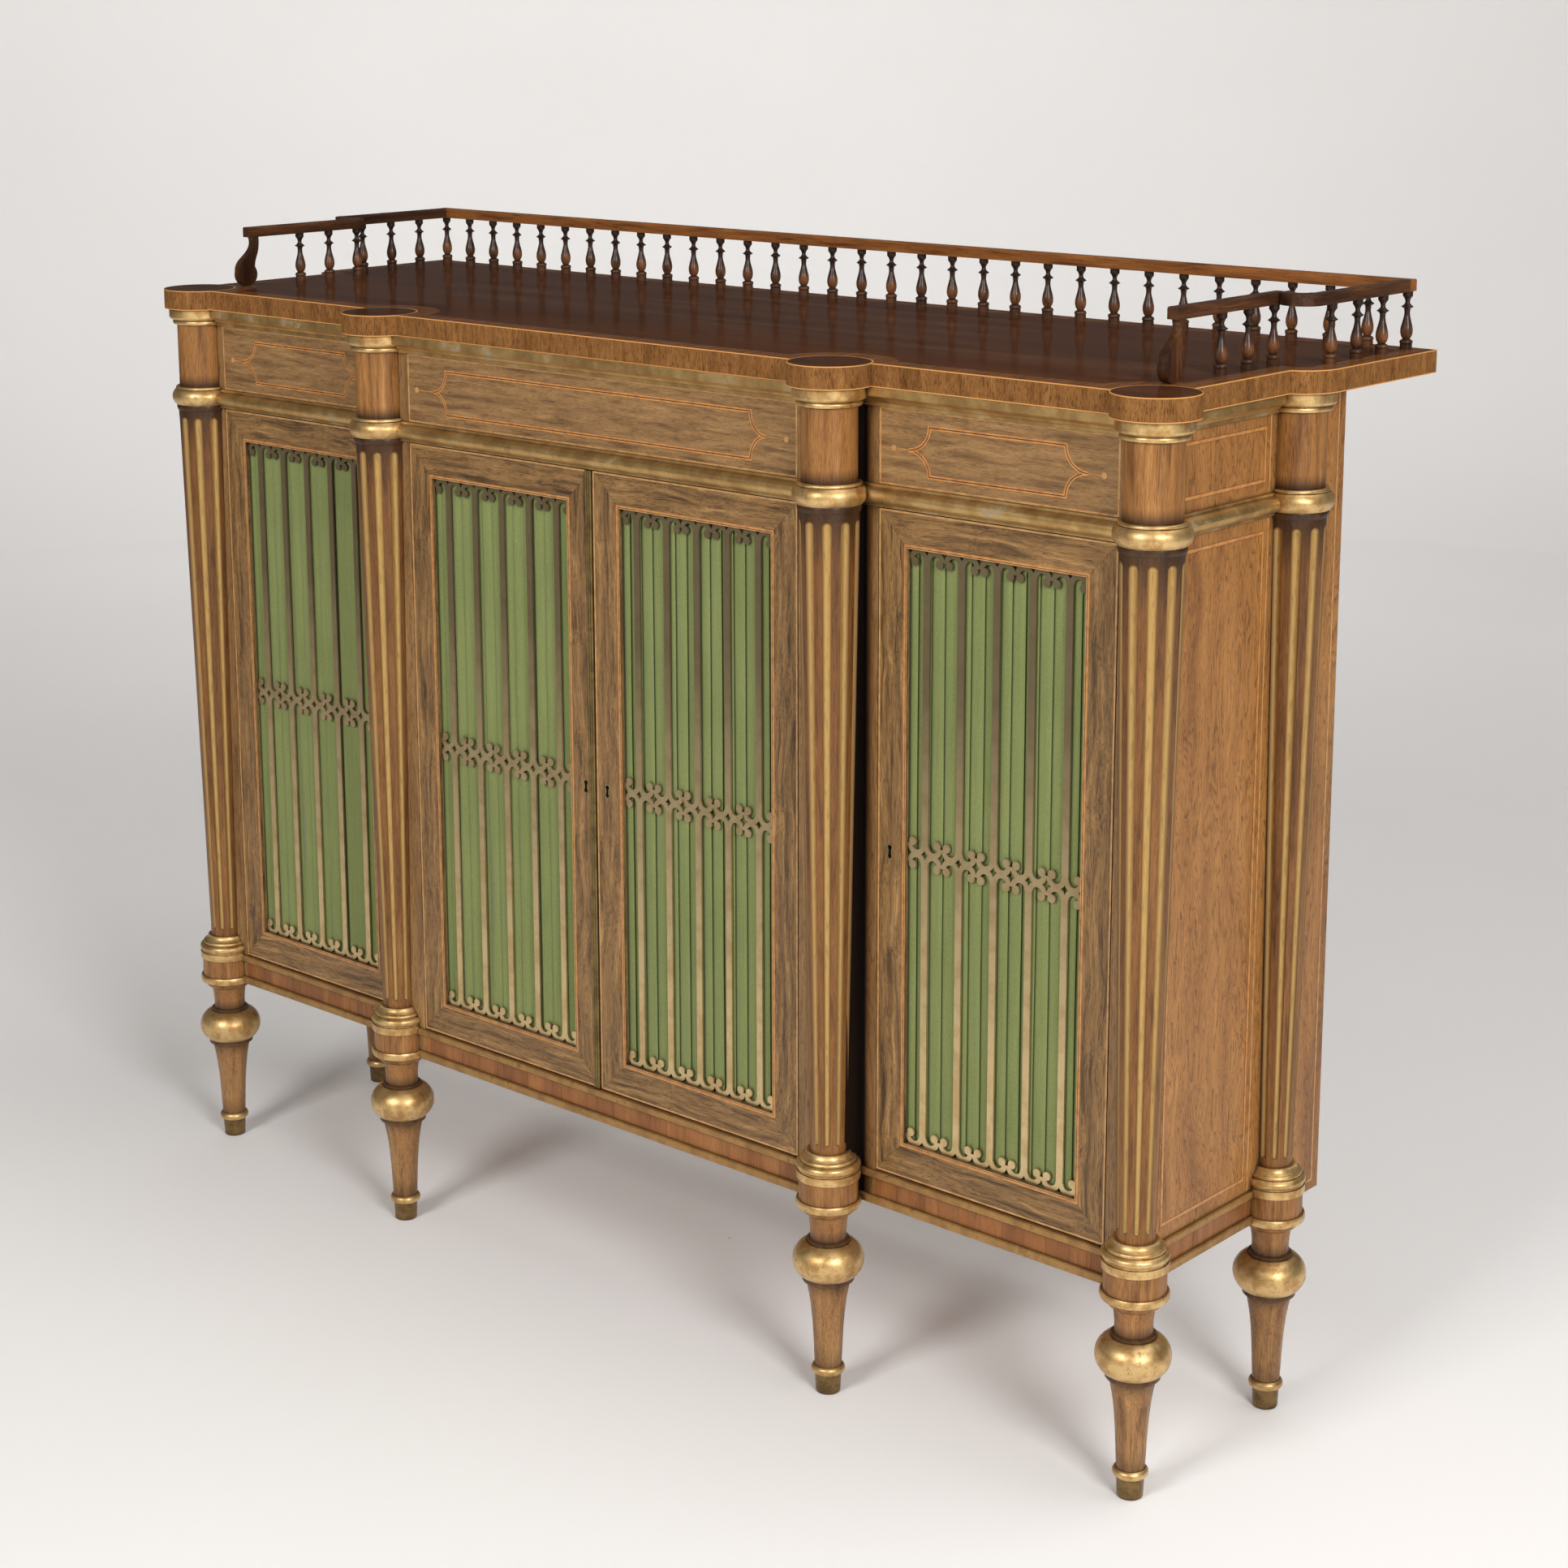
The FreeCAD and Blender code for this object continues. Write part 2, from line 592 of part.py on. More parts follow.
class Door:
    """One door: which way it hangs and where its stiles stand."""

    def __init__(self, name, hinge_x, free_x, face, meeting):
        """Hold the door's hinge edge, free edge and front face."""
        self.name = name
        self.hinge_x = hinge_x
        self.free_x = free_x
        self.face = face
        self.meeting = meeting
        self.toward_free = 1.0 if free_x > hinge_x else -1.0
        near = hinge_x + self.toward_free * HINGE_STILE
        far = near + self.toward_free * OPENING_W
        self.opening = tuple(sorted((near, far)))
        self.edges = tuple(sorted((hinge_x, free_x)))
        self.pivot = V(hinge_x + self.toward_free * PIVOT_IN, face + PIVOT_BACK, 0)

    def slab(self, x0, x1, depth0, depth1, z0, z1):
        """Return a block given by depths behind the front face, with X in either order."""
        low, high = sorted((x0, x1))
        return box(low, high, self.face + depth0, self.face + depth1, z0, z1)

    def members(self):
        """Return the four mitred members of the frame, rebated behind the front lip."""
        (x0, x1), (ox0, ox1) = self.edges, self.opening
        corners = [(x0, DOOR_BASE), (x1, DOOR_BASE), (x1, DOOR_TOP), (x0, DOOR_TOP)]
        inner = [(ox0, OPENING_BASE), (ox1, OPENING_BASE), (ox1, OPENING_TOP), (ox0, OPENING_TOP)]
        low, high = OPENING_BASE - REBATE, OPENING_TOP + REBATE
        rebate = self.slab(ox0 - REBATE, ox1 + REBATE, LIP, DOOR_THICK, low, high)
        members = []
        for index in range(4):
            after = (index + 1) % 4
            plan = [corners[index], corners[after], inner[after], inner[index]]
            points = [V(x, self.face, z) for x, z in plan]
            piece = Part.Face(Part.makePolygon(points + points[:1])).extrude(V(0, DOOR_THICK, 0))
            members.append(piece.cut(rebate))
        return members

    def pivot_bores(self):
        """Return the cutters of the two pivot holes."""
        x, y = self.pivot.x, self.pivot.y
        depth = PIVOT_LENGTH + PIVOT_END_GAP
        radius = PIVOT_R + PIVOT_CLEAR
        return [
            cylinder(radius, x, y, DOOR_BASE, DOOR_BASE + depth),
            cylinder(radius, x, y, DOOR_TOP - depth, DOOR_TOP),
        ]

    def pivots(self):
        """Return the lower pivot with its collar and the upper pivot, both fixed to the rails."""
        x, y = self.pivot.x, self.pivot.y
        lower = cylinder(PIVOT_R, x, y, PLINTH_TOP - PIVOT_LENGTH, DOOR_BASE + PIVOT_LENGTH)
        collar = cylinder(COLLAR_R, x, y, PLINTH_TOP, PLINTH_TOP + COLLAR_H)
        upper = cylinder(PIVOT_R, x, y, DOOR_TOP - PIVOT_LENGTH, FRIEZE_BASE + PIVOT_LENGTH)
        return [merged([lower, collar]), upper]

    def key_x(self):
        """Return the X of the keyhole in the free stile."""
        return self.free_x - self.toward_free * KEYHOLE_IN

    def keyhole(self, depth0, depth1, grow=0.0):
        """Return the keyhole's block between two depths, grown all round, with a round head and foot."""
        x, y, length = self.key_x(), self.face + depth0, depth1 - depth0
        low, high = LOCK_Z - KEYHOLE_HALF, LOCK_Z + KEYHOLE_HALF
        half = KEYHOLE_WAIST / 2 + grow
        waist = self.slab(x - half, x + half, depth0, depth1, low, high)
        head = Part.makeCylinder(KEYHOLE_HEAD_R + grow, length, V(x, y, high), V(0, 1, 0))
        foot = Part.makeCylinder(KEYHOLE_FOOT_R + grow, length, V(x, y, low), V(0, 1, 0))
        return merged([waist, head, foot])

    def liner(self):
        """Return the thin brass liner let into the keyhole."""
        outer = self.keyhole(-LINER_OUT, LINER_DEPTH, LINER)
        return outer.cut(self.keyhole(-LINER_OUT, LINER_DEPTH))

    def lock_pocket(self):
        """Return the block that the lock case fills, let into the back of the free stile."""
        x0 = self.free_x
        x1 = self.free_x - self.toward_free * LOCK_W
        low, high = LOCK_Z - LOCK_H / 2, LOCK_Z + LOCK_H / 2
        return self.slab(x0, x1, DOOR_THICK - LOCK_THICK, DOOR_THICK, low, high)

    def bolt_block(self, grow, throw):
        """Return the lock bolt's block, grown all round and pushed out by a throw."""
        x0 = self.free_x + self.toward_free * (throw - BOLT_CLEAR)
        x1 = x0 - self.toward_free * BOLT_W
        depth = DOOR_THICK - LOCK_THICK / 2
        return self.slab(
            x0 + self.toward_free * grow, x1 - self.toward_free * grow,
            depth - BOLT_THICK / 2 - grow, depth + BOLT_THICK / 2 + grow,
            LOCK_Z - BOLT_H / 2 - grow, LOCK_Z + BOLT_H / 2 + grow,
        )

    def bolt_path(self):
        """Return the space that the bolt needs over its throw."""
        return merged([self.bolt_block(BOLT_CLEAR, throw) for throw in (0.0, BOLT_THROW / 2, BOLT_THROW)])

    def grille_centre(self):
        """Return the middle of the grille on the front of its plate."""
        return V(sum(self.opening) / 2, self.face + LIP, (OPENING_BASE + OPENING_TOP) / 2)


def doors():
    """Return the four doors by their place in the front."""
    wing_hinge, wing_free = WING_OPENING_OUT - DOOR_GAP, WING_OPENING_IN + DOOR_GAP
    centre_hinge = CENTRE_OPENING - DOOR_GAP
    return [
        Door("wing_left", -wing_hinge, -wing_free, WING_FACE, False),
        Door("centre_left", -centre_hinge, -MEETING_GAP, CENTRE_FACE, True),
        Door("centre_right", centre_hinge, MEETING_GAP, CENTRE_FACE, True),
        Door("wing_right", wing_hinge, wing_free, WING_FACE, False),
    ]


def curled_arch(side, up):
    """Return one hooked arm of a fork at the end of a bar, on the plane Y = 0.

    The bar stands on X = 0 and ends at Z = 0. The arm bows out to one side and curls back into a
    round terminal. It points up or down.
    """
    y_axis = V(0, 1, 0)
    centre = V(side * ARCH_OFFSET, 0, -up * ARCH_DROP)
    outer = Part.makeCylinder(ARCH_R + ARCH_W / 2, GRILLE_THICK, centre, y_axis)
    hollow = Part.makeCylinder(ARCH_R - ARCH_W / 2, GRILLE_THICK, centre, y_axis)
    reach = 2 * ARCH_R
    low, high = sorted((centre.z, centre.z + up * reach))
    half = box(centre.x - reach, centre.x + reach, 0, GRILLE_THICK, low, high)
    curl = Part.makeCylinder(CURL_R, GRILLE_THICK, V(side * CURL_OUT, 0, -up * CURL_DROP), y_axis)
    return [outer.cut(hollow).common(half), curl]


def grille():
    """Return one pierced brass grille centred on the origin, its front on Y = 0."""
    half_h = (OPENING_TOP - OPENING_BASE) / 2
    half_w = OPENING_W / 2
    tip = half_h + TIP_OVER
    band = ARCH_DROP - BAND_OVERLAP
    pitch = OPENING_W / BARS
    pieces = []
    for index in range(BARS):
        x = (index - (BARS - 1) / 2) * pitch
        shift = V(x, 0, 0)
        for z0, z1 in ((-tip + band, -band), (band, tip - band)):
            pieces.append(box(x - BAR_W / 2, x + BAR_W / 2, 0, GRILLE_THICK, z0, z1))
        for side in (-1, 1):
            for end, up in ((tip, 1), (-tip, -1), (-BAND_OVERLAP / 2, -1), (BAND_OVERLAP / 2, 1)):
                for piece in curled_arch(side, up):
                    pieces.append(piece.translated(shift + V(0, 0, end)))
    clear_w, clear_h = half_w + BORDER_SIDE_CLEAR, half_h + BORDER_END_CLEAR
    clear = box(-clear_w, clear_w, 0, GRILLE_THICK, -clear_h, clear_h)
    edge_w, edge_h = half_w + GRILLE_BORDER, half_h + GRILLE_BORDER
    border = box(-edge_w, edge_w, 0, GRILLE_THICK, -edge_h, edge_h).cut(clear)
    return merged(pieces + [border])


def silk():
    """Return one knife-pleated silk panel centred on the origin, its front folds on Y = 0.

    The folds lap towards +X, as on the right-hand doors.
    """
    width = OPENING_W + 2 * (REBATE - SILK_GAP)
    height = OPENING_TOP - OPENING_BASE + 2 * (REBATE - SILK_GAP)
    pitch = width / PLEATS
    front = []
    for index in range(PLEATS):
        x = -width / 2 + index * pitch
        front += [(x, PLEAT_DEPTH), (x + pitch - PLEAT_STEP, 0)]
    front.append((width / 2, PLEAT_DEPTH))
    back = [(x, y + SILK_THICK) for x, y in reversed(front)]
    return prism(front + back, -height / 2, height / 2)


def flush_bar(door, top):
    """Return the bar of the upper or lower flush bolt of the standing door, drawn back."""
    x, half = door.free_x - door.toward_free * HINGE_STILE / 2, FLUSH_BOLT_W / 2
    z0 = DOOR_TOP - BOLT_CLEAR - FLUSH_BOLT_L if top else DOOR_BASE + BOLT_CLEAR
    return door.slab(x - half, x + half, DOOR_THICK - BOLT_THICK, DOOR_THICK, z0, z0 + FLUSH_BOLT_L)


def flush_bolt(door, top):
    """Return a flush bolt: its bar and the thumb knob that stands out behind the door."""
    bar = flush_bar(door, top)
    middle = bar.CenterOfMass
    knob = Part.makeCylinder(KNOB_R, KNOB_OUT, V(middle.x, door.face + DOOR_THICK, middle.z), V(0, 1, 0))
    return merged([bar, knob])


def flush_path(door, top):
    """Return the slot that a flush bolt slides in, through the door and into the rail."""
    bounds = flush_bar(door, top).BoundBox
    beyond = BOLT_THROW + 2 * BOLT_CLEAR
    up, down = (beyond, BOLT_CLEAR) if top else (BOLT_CLEAR, beyond)
    return box(
        bounds.XMin - BOLT_CLEAR, bounds.XMax + BOLT_CLEAR,
        bounds.YMin - BOLT_CLEAR, bounds.YMax + BOLT_CLEAR,
        bounds.ZMin - down, bounds.ZMax + up,
    )


def astragal(door):
    """Return the reeded brass bead along the meeting edge of a left-hand door."""
    x0, base_y = door.free_x - REEDS * REED_W, door.face - REED_BASE
    foot = [V(x0, base_y, DOOR_BASE), V(x0, door.face, DOOR_BASE)]
    foot += [V(door.free_x, door.face, DOOR_BASE), V(door.free_x, base_y, DOOR_BASE)]
    edges = [Part.LineSegment(start, end).toShape() for start, end in zip(foot, foot[1:])]
    for index in reversed(range(REEDS)):
        left = x0 + index * REED_W
        crest = V(left + REED_W / 2, door.face - REED_OUT, DOOR_BASE)
        ends = V(left + REED_W, base_y, DOOR_BASE), V(left, base_y, DOOR_BASE)
        edges.append(Part.Arc(ends[0], crest, ends[1]).toShape())
    return Part.Face(Part.Wire(edges)).extrude(V(0, 0, DOOR_TOP - DOOR_BASE))


def make_doors(nodes):
    """Add the doors, their grilles, silk, locks and bolts, and bore the carcase for them."""
    plate, cloth, pivots = grille(), silk(), []
    standing = None
    for door in doors():
        members = door.members()
        cutters = door.pivot_bores() + [door.keyhole(0, LINER_DEPTH, LINER)]
        place = door.grille_centre()
        nodes["grille_" + door.name] = [plate.translated(place)]
        panel = cloth if door.hinge_x > 0 else mirrored(cloth)
        nodes["silk_" + door.name] = [panel.translated(place + V(0, GRILLE_THICK + SILK_GAP, 0))]
        pivots += door.pivots()
        fittings = [door.liner()]
        if door.name == "centre_left":
            standing = door
            for top in (True, False):
                cutters.append(flush_path(door, top))
                nodes["flush_bolt_upper" if top else "flush_bolt_lower"] = [flush_bolt(door, top)]
        else:
            key_path = door.keyhole(0, DOOR_THICK - BOLT_THICK)
            cutters += [door.lock_pocket(), key_path]
            case = door.lock_pocket().cut([door.bolt_path(), key_path])
            fittings.append(case)
            nodes["lock_bolt_" + door.name] = [door.bolt_block(0.0, 0.0)]
        nodes["lock_" + door.name] = fittings
        nodes["door_frame_" + door.name] = [member.cut(cutters) for member in members]
    nodes["door_pivots"] = pivots
    swinging = [door for door in doors() if door.name == "centre_right"][0]
    nodes["door_frame_centre_left"] = [
        member.cut(swinging.bolt_path()) for member in nodes["door_frame_centre_left"]
    ]
    nodes["meeting_astragal"] = [astragal(standing)]
    bolt_paths = [door.bolt_path() for door in doors() if not door.meeting]
    nodes["front_posts"] = [post.cut(bolt_paths) for post in nodes["front_posts"]]
    flush_paths = [flush_path(standing, top) for top in (True, False)]
    for rail_set in ("plinth_rails", "frieze_rails"):
        nodes[rail_set] = [rail.cut(pivots + flush_paths) for rail in nodes[rail_set]]


def top_screws():
    """Return the countersunk screws driven up through the board under the top."""
    head_base = TOP_UNDER - BOARD
    screw = (
        Outline(0, head_base).line(SCREW_HEAD_R, head_base).line(SCREW_R, head_base + SCREW_HEAD_H)
        .line(SCREW_R, head_base + SCREW_LENGTH).line(0, head_base + SCREW_LENGTH).turned()
    )
    return [
        piece for x in SCREW_X for y in SCREW_Y for piece in both(screw.translated(V(x, y, 0)))
    ]


def main():
    """Build every node and write one STEP file for each."""
    os.makedirs("parts", exist_ok=True)
    nodes = {}
    screws = top_screws()
    nodes["top_screws"] = screws
    make_top(nodes, screws)
    make_gallery(nodes)
    make_carcase(nodes, screws)
    wood, rings = column_wood(), column_rings()
    make_columns(nodes, wood, rings)
    make_mouldings(nodes, [wood] + rings)
    make_doors(nodes)
    for name, solids in sorted(nodes.items()):
        shape = solids[0] if len(solids) == 1 else Part.makeCompound(solids)
        count = len(shape.Solids)
        print(f"{name}: {count} solids, {shape.Volume / 1000:.1f} cm3, valid {shape.isValid()}")
        shape.exportStep(f"parts/{name}.step")
    print(len(nodes), "nodes")


main()
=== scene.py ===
"""Looks of a breakfront chiffonier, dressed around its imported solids.

Metres, in the frame of the solids: +Z is up, the doors face -Y and +X is the right-hand side.
"""
import json
import logging
import math
from dataclasses import dataclass
from enum import Enum
from typing import Sequence

import bmesh
import bpy
from mathutils import Matrix, Vector


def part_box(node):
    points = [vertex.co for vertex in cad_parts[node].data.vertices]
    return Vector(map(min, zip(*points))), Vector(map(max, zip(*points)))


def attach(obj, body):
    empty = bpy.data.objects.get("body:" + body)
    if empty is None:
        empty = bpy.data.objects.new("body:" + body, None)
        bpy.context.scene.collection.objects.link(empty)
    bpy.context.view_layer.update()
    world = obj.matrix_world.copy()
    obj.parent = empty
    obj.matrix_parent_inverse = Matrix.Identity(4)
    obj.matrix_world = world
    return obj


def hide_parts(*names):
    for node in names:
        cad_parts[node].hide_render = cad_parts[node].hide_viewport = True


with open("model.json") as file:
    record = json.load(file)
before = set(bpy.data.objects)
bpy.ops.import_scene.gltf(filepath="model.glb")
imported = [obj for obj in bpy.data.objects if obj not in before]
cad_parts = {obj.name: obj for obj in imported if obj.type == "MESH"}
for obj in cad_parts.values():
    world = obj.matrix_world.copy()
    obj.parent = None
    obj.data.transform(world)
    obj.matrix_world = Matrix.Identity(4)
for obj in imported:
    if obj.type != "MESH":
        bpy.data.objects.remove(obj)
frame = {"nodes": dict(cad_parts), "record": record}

LOG = logging.getLogger("chiffonier")
MM = 0.001
ROOT = "cabinet"
WHITE = "#FFFFFF"
# Dark, middle and light tones of the mahogany that the carcase is made of.
MAHOGANY = ("#6A4226", "#8E5C38", "#A67344")
Socket = bpy.types.NodeSocket
Point2 = tuple[float, float]
Stops = tuple[tuple[float, str], ...]


def linear(code: str) -> tuple[float, float, float, float]:
    """Turn an sRGB hex colour into linear RGBA.

    Args:
        code: The colour as "#RRGGBB".

    Returns:
        The linear colour with full alpha.
    """
    shares = [int(code[at:at + 2], 16) / 255 for at in (1, 3, 5)]
    red, green, blue = (s / 12.92 if s <= 0.04045 else ((s + 0.055) / 1.055) ** 2.4 for s in shares)
    return red, green, blue, 1.0


class Grain(Enum):
    """Which way the fibres of a piece run, as the order that brings that axis last."""

    ALONG_X = ("Y", "Z", "X")
    ALONG_Y = ("Z", "X", "Y")
    ALONG_Z = ("X", "Y", "Z")


class Place(Enum):
    """The four doors, by their place in the front."""

    WING_LEFT = "wing_left"
    CENTRE_LEFT = "centre_left"
    CENTRE_RIGHT = "centre_right"
    WING_RIGHT = "wing_right"


class Hand(Enum):
    """The two ends of the cabinet, each with the sign of its X."""

    LEFT = -1
    RIGHT = 1

    def word(self) -> str:
        """Return the word that the names of its pieces end in."""
        return self.name.lower()


class Graph:
    """A material under construction: its node tree and the one method that adds to it."""

    def __init__(self, name: str) -> None:
        """Start a material that holds only its shader and its output.

        Args:
            name: The material's name.
        """
        self.material = bpy.data.materials.new(name)
        self.material.use_nodes = True
        self.tree = self.material.node_tree
        self.shader = self.tree.nodes["Principled BSDF"]

    def feed(self, node: bpy.types.Node, inputs: dict) -> None:
        """Set or link a node's inputs.

        Args:
            node: The node to feed.
            inputs: Values, hex colours or sockets by input name or index.
        """
        for key, value in inputs.items():
            if isinstance(value, Socket):
                self.tree.links.new(value, node.inputs[key])
            else:
                node.inputs[key].default_value = linear(value) if isinstance(value, str) else value

    def add(self, kind: str, inputs: dict, out: int | str = 0, stops: Sequence = (), **settings) -> Socket:
        """Add a node with its settings and links.

        Args:
            kind: The node's type without its ShaderNode prefix.
            inputs: Values, hex colours or sockets by input name or index.
            out: The output that is wanted, by name or index.
            stops: Positions and hex colours of a colour ramp.
            settings: Properties of the node, or of its ramp where it has stops.

        Returns:
            The wanted output.
        """
        node = self.tree.nodes.new("ShaderNode" + kind)
        for key, value in settings.items():
            setattr(node.color_ramp if stops else node, key, value)
        if stops:
            elements = node.color_ramp.elements
            elements.remove(elements[1])
            for index, (position, colour) in enumerate(stops):
                stop = elements.new(position) if index else elements[0]
                stop.position, stop.color = position, linear(colour)
        self.feed(node, inputs)
        return node.outputs[out]

    def axes(self) -> dict[str, Socket]:
        """Split the place of a surface point.

        Returns:
            Its X, Y and Z in the frame of the solids, in metres.
        """
        place = self.add("TexCoord", {}, out="Object")
        split = self.add("SeparateXYZ", {0: place}).node
        return {axis: split.outputs[axis] for axis in "XYZ"}


@dataclass(frozen=True)
class Wood:
    """A polished veneer or turned timber: growth figure, long streaks and open pores.

    Cut and scraped smooth, then wax or shellac polished: the figure lies under a soft gloss, and
    the open pores stay as short dark dashes along the fibres. Pores are drawn about twice as wide as
    real ones so that they show. Sizes are across the fibres; vein, smoke, streaks and pores are
    strengths from 0 to 1. stretch draws the growth figure out along the fibres, and each draw says
    how many times further a finer pattern goes.
    """

    name: str
    dark: str
    mid: str
    light: str
    pore: str
    grain: Grain = Grain.ALONG_Z
    figure_mm: float = 22.0
    streak_mm: float = 1.2
    pore_mm: float = 0.55
    stretch: float = 9.0
    rings: float = 12.0
    vein: float = 0.6
    smoke: float = 0.5
    streaks: float = 0.3
    pores: float = 0.35
    roughness: float = 0.38
    coat: float = 0.06
    gloss: float = 0.3
    dirt_and_shade_mm: float = 0.0
    wander_mm: float = 3.0
    wave_mm: float = 90.0
    streak_draw: float = 5.0
    fleck_draw: float = 2.0
    smoke_size: float = 1.4
    smoke_draw: float = 1.6
    pore_deep_mm: float = 0.1
    pore_dulls: float = 0.2
    coat_roughness: float = 0.12
    soil_and_shade: str = "#1E140D"

    def oriented(self, graph: Graph) -> Socket:
        """Turn the surface point to the fibres.

        Args:
            graph: The material under construction.

        Returns:
            The point with its fibre axis last.
        """
        axes = graph.axes()
        first, second, along = self.grain.value
        return graph.add("CombineXYZ", {0: axes[first], 1: axes[second], 2: axes[along]})

    def wandering(self, graph: Graph, place: Socket) -> Socket:
        """Return the point moved a little across the fibres, so that they run in slow waves.

        Args:
            graph: The material under construction.
            place: The point with its fibre axis last.

        Returns:
            The moved point.
        """
        drift = graph.add("TexNoise", {"Vector": place, "Scale": 1 / (self.wave_mm * MM), "Detail": 1.0}, out="Color")
        sideways = (2 * self.wander_mm * MM, 2 * self.wander_mm * MM, 0.0)
        return graph.add("VectorMath", {0: drift, 1: sideways, 2: place}, operation="MULTIPLY_ADD")

    def stretched(self, graph: Graph, place: Socket, size_mm: float, stretch: float, detail: float) -> Socket:
        """Return noise of a real size across the fibres, drawn out along them.

        Args:
            graph: The material under construction.
            place: The point with its fibre axis last.
            size_mm: The size of the pattern across the fibres.
            stretch: How many times longer it is along them.
            detail: How many finer layers it holds.

        Returns:
            The noise, from 0 to 1.
        """
        across = 1 / (size_mm * MM)
        scaled = graph.add("VectorMath", {0: place, 1: (across, across, across / stretch)}, operation="MULTIPLY")
        return graph.add("TexNoise", {"Vector": scaled, "Scale": 1.0, "Detail": detail, "Distortion": 0.5})

    def pattern(self, graph: Graph, place: Socket) -> tuple[Socket, Socket]:
        """Draw the figure.

        The noise lies mostly between 0.35 and 0.65, so each limit below is a place in that spread.

        Args:
            graph: The material under construction.
            place: The point with its fibre axis last.

        Returns:
            The colour and the pores, which are 1 where a pore is open.
        """
        place = self.wandering(graph, place)
        growth = self.stretched(graph, place, self.figure_mm, self.stretch, detail=3.0)
        streak = self.stretched(graph, place, self.streak_mm, self.stretch * self.streak_draw, detail=4.0)
        fleck = self.stretched(graph, place, self.pore_mm, self.stretch * self.fleck_draw, detail=1.0)
        smoke_mm = self.figure_mm * self.smoke_size
        smoke = self.stretched(graph, place, smoke_mm, self.stretch * self.smoke_draw, detail=4.0)
        both = graph.add("Mix", {0: 0.5, 2: growth, 3: streak})
        body = graph.add("ValToRGB", {0: both}, stops=(
            (0.38, self.dark), (0.48, self.mid), (0.53, self.mid), (0.62, self.light),
        ))
        rings = graph.add("Math", {0: growth, 1: self.rings}, operation="MULTIPLY")
        ring = graph.add("Math", {0: rings}, operation="FRACT")
        line = graph.add("MapRange", {0: ring, 1: 0.0, 2: 0.55, 3: self.vein, 4: 0.0})
        dash = graph.add("MapRange", {0: fleck, 1: 0.46, 2: 0.6, 3: 0.3, 4: 1.0})
        veined = graph.add("Math", {0: line, 1: dash}, operation="MULTIPLY")
        lined = graph.add("Mix", {0: veined, 6: body, 7: self.pore}, out=2, data_type="RGBA")
        cloud = graph.add("MapRange", {0: smoke, 1: 0.52, 2: 0.7, 3: 0.0, 4: self.smoke})
        thread = graph.add("MapRange", {0: streak, 1: 0.4, 2: 0.58, 3: 0.25, 4: 1.0})
        smoked = graph.add("Math", {0: cloud, 1: thread}, operation="MULTIPLY")
        streaked = graph.add("MapRange", {0: streak, 1: 0.54, 2: 0.63, 3: 0.0, 4: self.streaks})
        darker = graph.add("Math", {0: smoked, 1: streaked}, operation="MAXIMUM")
        clouded = graph.add("Mix", {0: darker, 6: lined, 7: self.pore}, out=2, data_type="RGBA")
        pores = graph.add("MapRange", {0: fleck, 1: 0.57, 2: 0.64, 3: 0.0, 4: 1.0})
        open_pores = graph.add("Math", {0: pores, 1: self.pores}, operation="MULTIPLY")
        colour = graph.add("Mix", {0: open_pores, 6: clouded, 7: self.pore}, out=2, data_type="RGBA")
        return colour, pores

    def soiled_and_shaded(self, graph: Graph, colour: Socket) -> Socket:
        """Darken the corners: partly the old polish and dust that gather there, partly painted shade.

        Args:
            graph: The material under construction.
            colour: The clean colour.

        Returns:
            The colour with its dark corners.
        """
        if not self.dirt_and_shade_mm:
            return colour
        # Painted shade with dirt: ambient occlusion darkens hollows and corners toward the soil colour.
        hollow = graph.add("AmbientOcclusion", {"Distance": self.dirt_and_shade_mm * MM}, out="AO", samples=4)
        soil_and_shade = graph.add("MapRange", {0: hollow, 1: 0.2, 2: 0.8, 3: 0.85, 4: 0.0})
        return graph.add("Mix", {0: soil_and_shade, 6: colour, 7: self.soil_and_shade}, out=2, data_type="RGBA")

    def polish(self, graph: Graph, colour: Socket, pores: Socket) -> bpy.types.Material:
        """Lay the polish over a drawn figure.

        Args:
            graph: The material under construction.
            colour: The figure's colour.
            pores: Where the pores are open.

        Returns:
            The finished material.
        """
        dull = self.roughness + self.pore_dulls
        rough = graph.add("MapRange", {0: pores, 1: 0.0, 2: 1.0, 3: self.roughness, 4: dull})
        deep = -self.pore_deep_mm * MM
        sunk = graph.add("Bump", {"Height": pores, "Strength": 0.25, "Distance": deep}, out="Normal")
        graph.feed(graph.shader, {
            "Base Color": self.soiled_and_shaded(graph, colour), "Roughness": rough, "Normal": sunk,
            "Specular IOR Level": self.gloss, "Coat Weight": self.coat, "Coat Roughness": self.coat_roughness,
        })
        return graph.material

    def build(self) -> bpy.types.Material:
        """Draw the finish.

        Returns:
            The finished material.
        """
        graph = Graph(self.name)
        colour, pores = self.pattern(graph, self.oriented(graph))
        return self.polish(graph, colour, pores)


